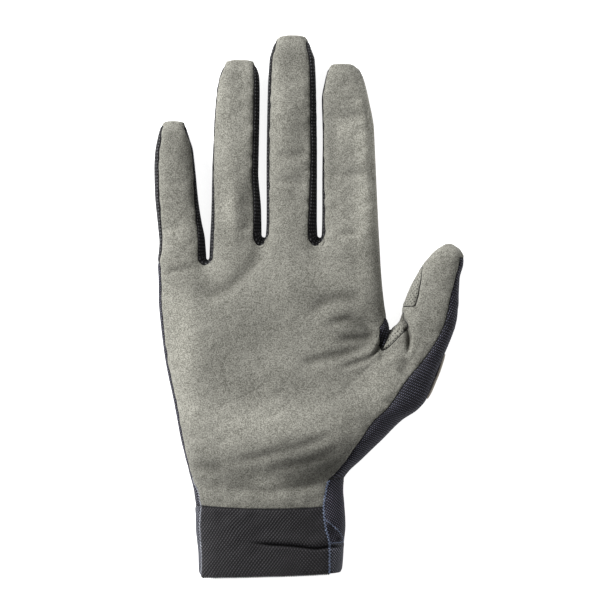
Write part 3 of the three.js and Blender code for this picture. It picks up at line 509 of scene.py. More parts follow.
def add_grid(points, panel, turned=False, side=False):
    """Keeps a grid of points. panel is a name, or an array of names, one per row of cells."""
    rows = points.shape[0] - 1
    names = np.array([panel] * rows) if isinstance(panel, str) else np.asarray(panel)
    grids.append(dict(points=points, names=names, turned=turned, side=side))
    return len(grids) - 1


def shares(count):
    """0 to 1 in equal steps."""
    return np.linspace(0, 1, count + 1)


# %% Palm, back and cuff below the thumb crotch
finger_n, web_n, crotch_n, thumb_n, side_n = 32, 8, 15, 32, 12
low_y = np.linspace(0, crotch_height, 97)
cuff_y = np.linspace(-cuff_length, 0, 63)
cuff_rows, gusset_low_rows, gusset_high_rows, outer_rows = 30, 34, 16, 82
gusset_y = (-0.54 * cuff_length, 0.157 * crotch_height)
wedge_share = 0.12
insert_from = 1 / 3
low_groups = [(g, finger_n if g[0] == "finger" else web_n) for g in KINDS]
all_groups = low_groups + [(("crotch", 0), crotch_n), (("thumb", 0), thumb_n)]

for part in ("front", "back"):
    for group, n in all_groups:
        above = "palm" if part == "front" else "back"
        for heights, panel in ((cuff_y, "cuff_" + part), (low_y, above)):
            add_grid(lower_point(part, group, shares(n)[None, :], heights[:, None]), panel,
                     part == "back")
for heights, panel in ((cuff_y, "cuff_back"), (low_y, "back")):
    add_grid(lower_side("left_side", shares(side_n)[None, :], heights[:, None]), panel, True, True)
outer_y = np.concatenate([
    np.linspace(-cuff_length, gusset_y[0], cuff_rows)[:-1],
    np.linspace(gusset_y[0], 0, gusset_low_rows)[:-1],
    np.linspace(0, gusset_y[1], gusset_high_rows)[:-1],
    np.linspace(gusset_y[1], crotch_height, outer_rows)])
outer_mid = (outer_y[1:] + outer_y[:-1]) / 2
outer_names = np.where(outer_mid < gusset_y[0], "cuff_back",
                       np.where(outer_mid < gusset_y[1], "wrist_gusset", "back"))
outer_grid = add_grid(lower_side("right_side", shares(side_n)[None, :], outer_y[:, None]),
                      outer_names, False, True)

# %% Palm and back above it, and the turns
up = np.concatenate([np.linspace(0, wedge_share, 6)[:-1], np.linspace(wedge_share, 1, 38)])
up_mid = (up[1:] + up[:-1]) / 2
for part in ("front", "back"):
    for group, n in low_groups:
        u = shares(n)[None, :]
        y = lerp(crotch_height, end_y(group, u), up[:, None])
        add_grid(upper_point(part, group, u, y), "palm" if part == "front" else "back",
                 part == "back")
for part, name, share in (("left_side", "little", 0.0), ("right_side", "index", 1.0)):
    y = lerp(crotch_height, part_y(name, share), up[:, None])
    names = "back" if part == "left_side" else np.where(up_mid < wedge_share, "back", "palm")
    add_grid(hand_side(part, shares(side_n)[None, :], y), names, part == "left_side", True)

WEBS = ("fourchette_little_ring", "fourchette_ring_middle", "fourchette_middle_index")
for i, name in enumerate(WEBS):
    add_grid(web_point(i, shares(web_n)[:, None], shares(side_n)[None, :]), name, True, True)
turns = shares(crotch_n)
turn_names = np.where((turns[1:] + turns[:-1]) / 2 < insert_from, "back", "thumb_insert_crotch")
add_grid(thumb_turn(turns[:, None], shares(side_n)[None, :], np.array(crotch_height)),
         turn_names, True)


# %% Fingers and thumb
def tube(point, row_y, rows, n, back_from, side_from, left_names, right_names):
    """Front, back, sides and closed end of a finger. The end is a patch between four edges."""
    mid = (rows[1:] + rows[:-1]) / 2
    edge = {}
    for part, count in (("front", n), ("back", n), ("left_side", side_n), ("right_side", side_n)):
        s = shares(count)[None, :]
        grid = point(part, s, row_y(part, s, rows[:, None]))
        edge[part] = grid[-1]
        names = {"front": "palm", "back": np.where(mid < back_from, "back", "palm"),
                 "left_side": np.where(mid < side_from, left_names(mid), "palm"),
                 "right_side": np.where(mid < side_from, right_names(mid), "palm")}[part]
        add_grid(grid, names, part in ("back", "left_side"), part.endswith("side"))
    a, d = shares(n)[None, :, None], shares(side_n)[:, None, None]
    front, back = edge["front"][None], edge["back"][None]
    left, right = edge["left_side"][:, None], edge["right_side"][:, None]
    cap = (lerp(left, right, a) + lerp(front, back, d)
           - lerp(lerp(front[:, :1], front[:, -1:], a), lerp(back[:, :1], back[:, -1:], a), d))
    cap[..., 1] += (tip_bulge * np.sin(np.pi * d) * np.sin(np.pi * a))[..., 0]
    add_grid(cap, "palm")


# shares of a finger's length: where the back's mesh ends, and where its side strips end
back_end, side_end = 0.86, 0.975
# the same for the thumb, and between which shares each of its panels lies
thumb_end = 0.85
insert_end, upper_insert = 0.18, (0.262, 0.74)
row_length, tip_closeness = 0.78, 1.25
SIDES = {"little": ("little_side", WEBS[0]), "ring": (WEBS[0], WEBS[1]),
         "middle": (WEBS[1], WEBS[2]), "index": (WEBS[2], "palm")}
for name in ORDER:
    left, right = SIDES[name]
    step = 1 - (1 - shares(int(FINGERS[name]["length"] / row_length))) ** tip_closeness
    step = np.unique(np.concatenate([step, [back_end, side_end]]))
    edge_share = {"left_side": 0.0, "right_side": 1.0}
    tube(lambda part, s, y, n=name: on(finger_section(n, y), part, s, y),
         lambda part, s, row, n=name: lerp(part_y(n, edge_share.get(part, s)), FINGERS[n]["tip"], row),
         step, finger_n, back_end, side_end,
         lambda m, v=left: np.full(m.shape, v), lambda m, v=right: np.full(m.shape, v))
thumb_rows = np.unique(np.concatenate([
    1 - (1 - shares(50)) ** tip_closeness,
    [insert_end, 0.235, 0.249, *upper_insert, thumb_end]]))
tube(lambda part, s, y: on(thumb_section(y), part, s, y),
     lambda part, s, row: lerp(crotch_height, thumb_tip, row) + 0 * s,
     thumb_rows, thumb_n, thumb_end, thumb_end,
     lambda m: np.where(m < insert_end, "thumb_insert_crotch",
                        np.where((m < upper_insert[0]) | (m > upper_insert[1]),
                                 "palm", "thumb_insert_upper")),
     lambda m: np.full(m.shape, "back"))
print("grids", len(grids), "cells", sum(len(g["names"]) * (g["points"].shape[1] - 1) for g in grids))

# %% [markdown]
# Two grids that meet have the same points on their common edge, but as two separate rows. Rounding
# every place to a thousandth of a millimetre finds the points that are one, and gives each of them
# a single number. A triangle that loses a corner this way, as at a pole, is dropped.

# %% Weld the grids
WELD = 1e-3
# keeps round numbers away from the middle between two steps, where rounding could go either way
ODD = 0.000317


def halves(a, b, c, d):
    """The two triangles of each cell with the corners a, b, c and d."""
    return np.stack([a, b, c], -1).reshape(-1, 3), np.stack([a, c, d], -1).reshape(-1, 3)


def grid_faces(g, start):
    """Two triangles per cell, with its panel. UV: place in plan, or round and along a side strip."""
    rows, columns = g["points"].shape[:2]
    ids = start + np.arange(rows * columns).reshape(rows, columns)
    across = np.linalg.norm(np.diff(g["points"], axis=1), axis=-1)
    u = np.concatenate([np.zeros((rows, 1)), np.cumsum(across, 1)], 1)
    along = np.linalg.norm(np.diff(g["points"], axis=0), axis=-1).mean(1)
    v = np.concatenate([[0], np.cumsum(along)])[:, None] + g["points"][0, :, 1].mean() + 0 * u
    uv = (np.stack([u, v], -1) if g["side"] else g["points"][..., :2]).reshape(-1, 2)
    faces = np.concatenate(halves(ids[:-1, :-1], ids[:-1, 1:], ids[1:, 1:], ids[1:, :-1]))
    if g["turned"]:
        faces = faces[:, ::-1]
    names = np.repeat(g["names"][:, None], columns - 1, 1)
    return faces, np.concatenate([names.ravel()] * 2), uv[faces - start]


start = 0
all_faces, all_names, all_uv = [], [], []
for g in grids:
    g["start"] = start
    faces, names, uv = grid_faces(g, start)
    all_faces.append(faces)
    all_names.append(names)
    all_uv.append(uv)
    start += g["points"].shape[0] * g["points"].shape[1]
raw = np.concatenate([g["points"].reshape(-1, 3) for g in grids])
keys = np.floor((raw + ODD) / WELD + 0.5).astype(np.int64)
_, keep, weld = np.unique(keys, axis=0, return_index=True, return_inverse=True)
weld = weld.ravel()
points = raw[keep]
faces = weld[np.concatenate(all_faces)]
names = np.concatenate(all_names)
uvs = np.concatenate(all_uv)
good = ((faces[:, 0] != faces[:, 1]) & (faces[:, 1] != faces[:, 2]) & (faces[:, 2] != faces[:, 0]))
faces, names, uvs = faces[good], names[good], uvs[good]
print("net points", len(points), "triangles", len(faces))


def border_edges(tri):
    """The directed edges that only one triangle has."""
    e = np.concatenate([tri[:, [0, 1]], tri[:, [1, 2]], tri[:, [2, 0]]])
    face = np.tile(np.arange(len(tri)), 3)
    low, high = e.min(1).astype(np.int64), e.max(1).astype(np.int64)
    _, inverse, count = np.unique(low * 10_000_000 + high, return_inverse=True, return_counts=True)
    once = count[inverse.ravel()] == 1
    return e[once], face[once]


# %% [markdown]
# Cloth is never as smooth as a formula. Along a seam it sinks a little and puckers, over the palm
# it folds where the hand bends, and everywhere it has faint waves. The folds are a short table of
# lines in millimetres from the middle of the wrist seam, each of which pushes the surface in or out
# in a narrow band. The forms are broad: the heel of the hand, the pads and the hollow between them.

# %% Folds and broad forms
# width and rise of the fold, then the points that its line runs through
FOLDS = (
    (1.6, -0.6, (-48, 101), (-40, 102.5), (-31, 104)),
    (2.9, -1.1, (-35, 91), (-27, 91.5), (-19, 94.5), (-12, 100), (-5, 108), (0, 115)),
    (2.9, -1.15, (15, 83.5), (24, 89), (31, 91.4), (37, 91), (42, 87)),
    (1.9, -1.1, (23, 78), (29, 80.6), (35, 81.2), (40, 79.6), (44, 76), (47, 72)),
    (2.0, -1.35, (28, 73.2), (35, 72.6), (42, 73.2), (48, 75)),
    (2.4, -1.2, (9, 61.5), (18, 63.2), (26, 64.6), (34, 67.2), (42, 70), (49, 72)),
    (1.6, -1.0, (30, 60.5), (38, 62.6), (43.5, 64.6), (47.5, 68)),
    (1.6, -0.5, (26, 118), (40, 119)),
    (1.9, -0.8, (0, 153), (9, 152.5), (18, 153)),
    (1.8, -0.45, (0, 142), (19, 141)),
    (1.3, -0.5, (-15, 120), (-8, 121.5), (-2, 122)),
    (1.4, -0.45, (-51, 140), (-34, 141)),
    (1.2, -0.4, (-51, 133.5), (-40, 134)),
    (1.4, -0.4, (-50, 120), (-36, 122)),
    (2.4, -0.6, (22, 169), (34, 170), (46, 170)),
    (2.0, -0.5, (21, 144), (47, 144.5)),
    (0.9, -0.6, (35, 194), (38, 186.5), (41.5, 177), (43.7, 159.5), (44.5, 130)),
    (0.9, -3.0, (53.5, 88.5), (56.6, 83.5), (59, 79), (60.5, 74), (60.3, 69), (59.6, 65)),
    (0.75, -2.2, (50.5, 76), (48.2, 71.5), (46.2, 67.6), (44, 65)),
    (3.2, -1.0, (56, 57), (58, 60), (61, 65)),
    (2.4, -0.85, (-26, 17), (-18, 19.5), (-5, 22), (8, 25), (27, 31), (34, 34)),
    (2.4, -0.75, (-4, 15), (1, 16.5), (14, 19), (27, 23), (33, 26)),
    (3.0, -0.9, (-36, 17), (-28, 17.5), (-18, 16)),
    (2.0, -0.7, (-22, 9), (-16, 8), (0, 7), (20, 10), (28, 13)),
    (0.7, -1.7, (-12, -15), (0, -16.2), (9, -16.6), (19, -17.9), (25, -17.3), (38, -17.2)),
    (2.4, 0.7, (-6, -12.8), (9, -14), (19, -15.2), (30, -14.8)),
    (0.8, -1.3, (23, -4), (27, -9), (28.5, -13), (32, -17)))
# middle across and up, reach across and up, rise
FORMS = (
    (-2, 78, 30, 22, -2.6), (3, 25.5, 36, 14, 3.6), (-31, 60, 14, 30, 1.6), (50, 46, 14, 18, 1.6),
    (2, 9, 44, 6, -1.5), (24, 16, 14, 9, -1.2), (34, 78, 10, 8, -1.0), (-29, 95, 5, 5, -0.8),
    (-19, 106, 5, 8, 0.7), (5.5, 168, 8, 9, 0.4), (34, 163, 7, 6, 0.7), (33, 150, 8, 6, 0.5),
    (-41, 152, 5, 10, 0.35), (14, 140, 4, 9, -0.5), (14, 163, 4, 12, -0.5), (-9, 130, 3.5, 10, -0.7),
    (-17, 128, 4, 14, 0.4), (-35, 151, 4, 8, -0.5), (27, 162, 2.5, 22, -0.5), (-20, 190, 7, 5, -0.4),
    (9, 199, 7, 4, -0.4), (35, 188, 6, 5, -0.4), (-39, 165, 5, 4, -0.3), (-6, 9, 9, 5, 0.6))
# middle across and up, reach across and up, and painted light (above 0) and painted shade (below 0) in
# the suede's colour
PAINTED_LIGHT_SPOTS = (
    (-38, 70, 7, 26, 0.3), (0, 38, 36, 11, 0.2), (42, 152, 4.5, 42, 0.75), (-18, 165, 4, 34, 0.2),
    (14, 165, 3, 30, 0.22), (-10, 170, 3, 30, 0.25),
    (4, 170, 4, 30, 0.15), (23, 18, 15, 8, -0.75), (-26, 18, 10, 5, -0.25), (26.5, 157, 2.6, 19, -0.4),
    (37, 77, 7, 4, -0.42), (40, 80, 4.5, 2.4, -0.4), (39, 73.6, 5, 1.8, -0.35),
    (30, 91, 6, 2.2, -0.25), (-29, 95, 6, 6, -0.45), (-16.5, 188, 4, 5, -0.35), (8.5, 197, 7, 5, -0.3),
    (36, 189, 6, 5, -0.35), (-43, 162, 4, 4, -0.3), (-2, 11, 9, 4, 0.4), (2, 1, 40, 4, -0.3),
    (52, 50, 12, 14, 0.2),
    (34, 163, 6, 5, 0.25), (-12, 131, 3, 10, -0.35), (-17, 128, 3, 12, 0.3), (13, 163, 3, 14, -0.25),
    (20, 92, 9, 5, -0.25), (-3, 80, 28, 16, -0.12), (36, 128, 9, 16, 0.15), (-40, 120, 6, 10, 0.2))
fold_from, fold_full = 0.28, 0.6
fold_taper = 0.3
wrist_bow, wrist_rise = 1.3, 0.5
corner, corner_lift, cuff_middle = 3.5, 1.7, 0.6


# %% How the folds, forms and waves are worked out
def run_along(p):
    """Length of a line from its start to each of its points."""
    return np.concatenate([[0], np.cumsum(np.linalg.norm(np.diff(p, axis=0), axis=1))])


def fold_lines(p):
    """Sum of rise * exp(-(distance to the line / width)^2), dying away towards the line's two ends."""
    total = np.zeros(len(p))
    for width, rise_by, *line in FOLDS:
        nearest, share = np.full(len(p), np.inf), np.zeros(len(p))
        ends = np.array(line, float)
        run = run_along(ends)
        for k, (a, b) in enumerate(zip(ends[:-1], ends[1:])):
            d = b - a
            s = np.clip(((p[:, :2] - a) @ d) / (d @ d), 0, 1)
            square = ((p[:, :2] - a - s[:, None] * d) ** 2).sum(1)
            closer = square < nearest
            nearest = np.where(closer, square, nearest)
            share = np.where(closer, lerp(run[k], run[k + 1], s) / run[-1], share)
        fade = smooth(share / fold_taper) * smooth((1 - share) / fold_taper)
        total += rise_by * fade * np.exp(-nearest / width ** 2)
    return total


def spots(rows, p):
    """Sum of rise * exp(-(away across)^2 - (away up)^2), each divided by its reach first."""
    total = np.zeros(len(p))
    for x, y, reach_x, reach_y, rise_by in rows:
        total += rise_by * np.exp(-((p[:, 0] - x) / reach_x) ** 2 - ((p[:, 1] - y) / reach_y) ** 2)
    return total


def waves(p, wavelength, count, seed):
    """Sum of sine waves in random directions, with a height of about 1 in all."""
    rng = np.random.default_rng(seed)
    total = np.zeros(len(p))
    for _ in range(count):
        direction = rng.normal(size=3)
        direction *= 2 * np.pi / wavelength / np.linalg.norm(direction) * rng.uniform(0.7, 1.4)
        total += np.sin(p @ direction + rng.uniform(0, 2 * np.pi))
    return total / np.sqrt(count / 2)


# %% [markdown]
# Each point needs its distance to the nearest seam, because cloth is held there. Under the U turns
# the columns of the net run together, which shows as a step, so two hundred rounds of moving each
# point to the mean of its neighbours smooth it. Then come the folds, forms and waves, the bow of
# the wrist seam, the rounded corners of the cuff, and last the sunk and puckered seams.

# %% Lift the net
panel_names = sorted(set(names))
seam_ids = []
for n in panel_names:
    edges, _ = border_edges(faces[names == n])
    seam_ids.append(np.unique(edges))
seam_ids = np.unique(np.concatenate(seam_ids))
seam_points = points[seam_ids]
seam_away = np.empty(len(points))
CHUNK = 4000
for i in range(0, len(points), CHUNK):
    block = points[i:i + CHUNK]
    square = (block ** 2).sum(1)[:, None] + (seam_points ** 2).sum(1) - 2 * block @ seam_points.T
    seam_away[i:i + CHUNK] = np.sqrt(np.maximum(square.min(1), 0))

# below a U turn: how far the smoothing reaches across and up, how far down its middle lies
web_reach, web_drop, smooth_rounds = (8, 12), 9, 200
front_weight = smooth((points[:, 2] / palm_depth - fold_from) / (fold_full - fold_from))
web_places = np.array([web_point(i, np.array(0.5), np.array(0.0))[:2] for i in range(len(WEBS))])
web_weight = np.zeros(len(points))
for x, y in web_places:
    away = ((points[:, 0] - x) / web_reach[0]) ** 2 + ((points[:, 1] - y + web_drop) / web_reach[1]) ** 2
    web_weight += np.exp(-away)
web_weight = np.clip(2.2 * web_weight, 0, 1) * front_weight * smooth((seam_away - 0.3) / 1.8)
edge_a = np.concatenate([faces[:, 0], faces[:, 1], faces[:, 2]])
edge_b = np.concatenate([faces[:, 1], faces[:, 2], faces[:, 0]])
ties = np.maximum(np.bincount(edge_a, minlength=len(points)), 1)
for _ in range(smooth_rounds):
    total = np.stack([np.bincount(edge_a, points[edge_b, k], len(points)) for k in range(3)], -1)
    points += web_weight[:, None] * (total / ties[:, None] - points)

# %% Folds, waves and the cuff's edges
crease = fold_lines(points)
lift = (crease + spots(FORMS, points) + 0.22 * waves(points, 24, 14, 3)) * front_weight
lift += 0.06 * waves(points, 8, 16, 5) * front_weight
# painted light and shade: broad spots that lighten and darken the suede's colour, not its form
painted_light = spots(PAINTED_LIGHT_SPOTS, points)
points[:, 2] += lift
half_wrist = wrist_width / 2
bow = wrist_bow * (1 - (points[:, 0] / half_wrist) ** 2) - wrist_rise
points[:, 1] -= bow * np.exp(-(points[:, 1] / 9) ** 2) * front_weight
low_weight = smooth((-points[:, 1] - cuff_length + corner + 2) / corner)
side_away = np.abs(points[:, 0] - cuff_middle) - (half_wrist - corner)
points[:, 1] += corner_lift * smooth(side_away / corner) ** 2 * low_weight


def unit(v):
    """The same vectors at length 1."""
    return v / np.maximum(np.linalg.norm(v, axis=1, keepdims=True), 1e-12)


def net_normals(p):
    """Sum of the cross products of the triangles round each point, at length 1."""
    n = np.cross(p[faces[:, 1]] - p[faces[:, 0]], p[faces[:, 2]] - p[faces[:, 0]])
    total = np.zeros_like(p)
    for k in range(3):
        np.add.at(total, faces[:, k], n)
    return unit(total)


normals = net_normals(points)
pucker = 0.5 + 0.5 * waves(points, 4.5, 10, 8)
sink = 0.24 * np.exp(-(seam_away / 0.7) ** 2) + 0.22 * pucker * np.exp(-(seam_away / 3.0) ** 2)
flat = np.where(points[:, 2] < 1.5, 0.15, 1.0)
points -= normals * (sink * flat)[:, None]
normals = net_normals(points)
print("seam points", len(seam_ids), "deepest fold, mm", round(float(-lift.min()), 2))

# %% [markdown]
# The net is in the glove's own frame, with the wrist seam at y = 0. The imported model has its
# origin in the middle of its box, so the whole net is shifted by the middle of its own box.

# %% Shift into the frame
middle = (raw.min(0) + raw.max(0)) / 2
SHIFT = np.array([-middle[0], -middle[1], 0.0])
palm_low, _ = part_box("palm")
print("shift", SHIFT.round(2), "palm starts at", palm_low.y / MM, "and here at", SHIFT[1])


# %% [markdown]
# A panel becomes a closed sheet: its outer face is the net, its inner face lies the cloth's
# thickness inside, and a rim joins them along the border, which is drawn back from the seam.

# %% Panels as thick sheets
def sheet_arrays(tri, lift_by, thickness, draw=seam_gap / 2):
    """Outer and inner points, and the triangles of both faces and of the rim."""
    used, local = np.unique(tri, return_inverse=True)
    local = local.reshape(-1, 3)
    edges, owner = border_edges(local)
    p = points[used]
    n = normals[used]
    a, b, c = p[local[owner, 0]], p[local[owner, 1]], p[local[owner, 2]]
    face_n = np.cross(b - a, c - a)
    inward = unit(np.cross(face_n, p[edges[:, 1]] - p[edges[:, 0]]))
    total, count = np.zeros_like(p), np.zeros(len(p))
    for k in range(2):
        np.add.at(total, edges[:, k], inward)
        np.add.at(count, edges[:, k], 1)
    mean = total / np.maximum(count, 1)[:, None]
    size = np.maximum((mean ** 2).sum(1, keepdims=True), 0.3)
    p = p + draw * mean / size
    lift_by = np.broadcast_to(lift_by, len(points))[used, None]
    outer = p + n * lift_by
    inner = p + n * (lift_by - thickness)
    m = len(used)
    rim_a, rim_b = edges[:, 0], edges[:, 1]
    rim = np.concatenate([np.stack([rim_b, rim_a, rim_a + m], 1),
                          np.stack([rim_b, rim_a + m, rim_b + m], 1)])
    triangles = np.concatenate([local, local[:, ::-1] + m, rim])
    return used, np.concatenate([outer, inner]), triangles


# %% Arrays into a mesh
def new_mesh(name, vertices, triangles, uv=None, values=None):
    """A mesh object from arrays, in metres, with smooth faces, a UV map and point attributes."""
    mesh = bpy.data.meshes.new(name)
    mesh.vertices.add(len(vertices))
    mesh.vertices.foreach_set("co", ((vertices + SHIFT) * MM).astype(np.float32).ravel())
    mesh.loops.add(triangles.size)
    mesh.loops.foreach_set("vertex_index", triangles.astype(np.int32).ravel())
    mesh.polygons.add(len(triangles))
    mesh.polygons.foreach_set("loop_start", np.arange(0, triangles.size, 3, dtype=np.int32))
    mesh.polygons.foreach_set("use_smooth", np.ones(len(triangles), bool))
    if uv is not None:
        layer = mesh.uv_layers.new(name="cloth")
        layer.data.foreach_set("uv", (uv * MM).astype(np.float32).ravel())
    for key, value in (values or {}).items():
        mesh.attributes.new(key, "FLOAT", "POINT").data.foreach_set(
            "value", value.astype(np.float32))
    mesh.update()
    mesh.validate()
    obj = bpy.data.objects.new(name, mesh)
    bpy.context.scene.collection.objects.link(obj)
    return obj


def panel_object(node, tri, uv, lift_by, thickness):
    """A thick sheet from some of the net's triangles, which stands for a node of the model."""
    used, vertices, triangles = sheet_arrays(tri, lift_by, thickness)
    rim_count = len(triangles) - 2 * len(tri)
    full_uv = np.concatenate([uv, uv[:, ::-1], np.zeros((rim_count, 3, 2))])
    values = {"seam": seam_away, "crease": crease, "painted_light": painted_light}
    values = {key: np.tile(value[used], 2) for key, value in values.items()}
    obj = new_mesh(node + "_cloth", vertices, triangles, full_uv, values)
    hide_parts(node)
    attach(obj, "root")
    print(node, "triangles", len(triangles))
    return obj


THICKNESS = {"palm": suede_thickness, "thumb_insert_upper": suede_thickness,
             "thumb_insert_crotch": suede_thickness, "cuff_front": knit_thickness,
             "cuff_back": knit_thickness}
pieces = {}
for n in panel_names:
    mask = names == n
    pieces[n] = panel_object(n, faces[mask], uvs[mask], 0.0, THICKNESS.get(n, mesh_thickness))

# %% [markdown]
# The patch on the back of the thumb lies on the mesh, so it is the same surface lifted by its own
# thickness, cut out between two heights.

# %% The patch on the back of the thumb
def net_ids(index):
    """The net's point numbers of one grid, in the grid's rows and columns."""
    rows, columns = grids[index]["points"].shape[:2]
    return weld[grids[index]["start"] + np.arange(rows * columns)].reshape(rows, columns)


patch_rows = (0.595 * crotch_height, 0.86 * crotch_height)
patch_columns = (0.5, 0.75)
r = np.flatnonzero((outer_y >= patch_rows[0] - 0.01) & (outer_y <= patch_rows[1] + 0.01))
across = shares(side_n)
c = np.flatnonzero((across >= patch_columns[0] - 0.01) & (across <= patch_columns[1] + 0.01))
block = net_ids(outer_grid)[r[0]:r[-1] + 1, c[0]:c[-1] + 1]
patch_tri = np.concatenate(halves(block[:-1, :-1], block[:-1, 1:], block[1:, 1:], block[1:, :-1]))
patch_up = (points[:, 1] - patch_rows[0]) / (patch_rows[1] - patch_rows[0])
patch_lift = 0.2 + 1.1 * np.sin(np.pi * np.clip(patch_up, 0, 1)) ** 0.6
pieces["thumb_back_patch"] = panel_object("thumb_back_patch", patch_tri, points[patch_tri][..., :2],
                                          patch_lift, patch_thickness)

# %% [markdown]
# Seams that show their thread: a zigzag over the two edges of the cuff and of the gusset, and a row
# of dark loops where the knit cuff meets the suede. A thread is one tube that swings from side to
# side of its seam and dips into the cloth between two stitches.

# %% Paths of the seams
def grid_line(index, row, column):
    """Places and normals on the net of one grid, at fractional rows and columns."""
    ids = net_ids(index)
    row, column = np.broadcast_arrays(np.asarray(row, float), np.asarray(column, float))
    r = np.clip(row.astype(int), 0, ids.shape[0] - 2)
    c = np.clip(column.astype(int), 0, ids.shape[1] - 2)
    fr, fc = (row - r)[:, None], (column - c)[:, None]

    def between(values):
        return lerp(lerp(values[ids[r, c]], values[ids[r, c + 1]], fc),
                    lerp(values[ids[r + 1, c]], values[ids[r + 1, c + 1]], fc), fr)

    return between(points), between(normals)


def joined(*lines):
    """Several lines as one, without the doubled point where they meet."""
    places, tops = zip(*lines)
    p, n = np.concatenate(places), np.concatenate(tops)
    keep = np.concatenate([[True], np.linalg.norm(np.diff(p, axis=0), axis=1) > 1e-3])
    return p[keep], n[keep]


def even(line, step):
    """The same line with a point every step millimetres."""
    p, n = line
    run = run_along(p)
    at = np.linspace(0, run[-1], max(2, int(run[-1] / step) + 1))
    p = np.stack([np.interp(at, run, p[:, k]) for k in range(3)], -1)
    n = np.stack([np.interp(at, run, n[:, k]) for k in range(3)], -1)
    return p, unit(n), at


def row_of(heights, y):
    """Fractional row of a grid at y."""
    return np.interp(y, heights, np.arange(len(heights)))


def rows_between(heights, low, high):
    """Fractional rows of a grid whose heights are given, from low to high."""
    return row_of(heights, np.linspace(low, high, 2 * int(abs(high - low)) + 2))


# %% [markdown]
# The thread's section is a small hexagon, carried along the zigzag with its own two directions:
# one along the surface's normal, the other across the thread.

# %% Threads
def thread(name, lines, pitch, swing, radius, lift_by, material_slot, sides=6):
    """Centre = seam + swing * z across + (height * sqrt(1.02 - z^2) - 1.6 radius) up, z a zigzag."""
    all_points, all_tri = [], []
    start = 0
    for line in lines:
        p, n, at = even(line, pitch / 8)
        across = np.cross(unit(np.gradient(p, axis=0)), n)
        phase = at / pitch
        zigzag = 4 * np.abs(phase - np.floor(phase) - 0.5) - 1
        dip = lift_by * np.sqrt(np.clip(1.02 - zigzag ** 2, 0, 1))
        centre = p + across * (swing * zigzag)[:, None] + n * (dip - 1.6 * radius)[:, None]
        along = unit(np.gradient(centre, axis=0))
        side = unit(np.cross(along, n))
        top = np.cross(side, along)
        a = np.arange(sides) * 2 * np.pi / sides
        ring = (centre[:, None] + radius * (np.cos(a)[None, :, None] * side[:, None]
                                            + np.sin(a)[None, :, None] * top[:, None]))
        count = len(centre)
        ids = start + np.arange(count * sides).reshape(count, sides)
        b, c = ids[:-1], ids[1:]
        b2, c2 = np.roll(b, -1, 1), np.roll(c, -1, 1)
        fan = np.arange(1, sides - 1)
        first = np.stack([ids[0, 0] + 0 * fan, ids[0, fan], ids[0, fan + 1]], -1)
        last = np.stack([ids[-1, 0] + 0 * fan, ids[-1, fan + 1], ids[-1, fan]], -1)
        all_points.append(ring.reshape(-1, 3))
        all_tri += [tri[:, ::-1] for tri in halves(b, b2, c2, c)] + [first, last]
        start += count * sides
    obj = new_mesh(name, np.concatenate(all_points), np.concatenate(all_tri))
    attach(obj, "root")
    print(name, "stitches", sum(int(even(line, 1)[2][-1] / pitch) for line in lines),
          "triangles", len(np.concatenate(all_tri)))
    return obj


front_grids = list(range(0, 2 * len(all_groups), 2))
last_column = thumb_n
left_seam = joined(grid_line(0, rows_between(cuff_y, -cuff_length, 0), 0),
                   grid_line(1, rows_between(low_y, 0, 12.5), 0))
gusset_seam = joined(
    grid_line(front_grids[-1], rows_between(cuff_y, -cuff_length, 0), last_column),
    grid_line(front_grids[-1] + 1, rows_between(low_y, 0, 11.5), last_column))
fold_rows = rows_between(outer_y, -5.5, gusset_y[0])
gusset_fold = grid_line(outer_grid, fold_rows, np.linspace(0, 4.5, len(fold_rows)))


def side_line(y, count=30):
    """A line across the thumb side at one height."""
    return grid_line(outer_grid, np.full(count, row_of(outer_y, y)), np.linspace(0, side_n, count))


def front_line(above):
    """A line across the whole front: the cuff's free edge (0) or the wrist seam (1)."""
    return joined(*[grid_line(i + above, np.zeros(2 * n + 1), np.linspace(0, n, 2 * n + 1))
                    for i, (_, n) in zip(front_grids, all_groups)])


hem_seam, gusset_top = side_line(gusset_y[0]), side_line(gusset_y[1])
hem_edge, wrist_seam = front_line(0), front_line(1)
# name, finish, then the arguments of thread
THREADS = (
    ("cuff_stitches", "light", [left_seam], 1.3, 0.55, 0.19, 0.42, "cuff_mesh"),
    ("gusset_seam_stitches", "blue", [gusset_seam], 1.5, 0.65, 0.19, 0.44, "cuff_mesh"),
    ("gusset_stitches", "blue", [gusset_fold, hem_seam], 1.7, 0.3, 0.15, 0.3, "cuff_mesh"),
    ("wrist_seam_loops", "dark", [wrist_seam, hem_edge], 1.05, 0.6, 0.24, 0.3, "knit"),
    ("gusset_top_overlock", "dark", [gusset_top], 0.8, 0.75, 0.3, 0.35, "black_mesh"))
threads = [(finish, thread(name, *values)) for name, finish, *values in THREADS]

# %% [markdown]
# Materials. Each is a small node tree on the shader's own sockets. The suede reads the piece's
# place in space, so its nap runs over the seams of the net, and the knits read the UV map, which
# follows the cloth.

# %% Node helpers
def srgb(r, g, b):
    """A colour given as 0 to 255 on a screen, as linear light."""
    c = np.array([r, g, b]) / 255
    linear = np.where(c <= 0.04045, c / 12.92, ((c + 0.055) / 1.055) ** 2.4)
    return (*linear, 1.0)


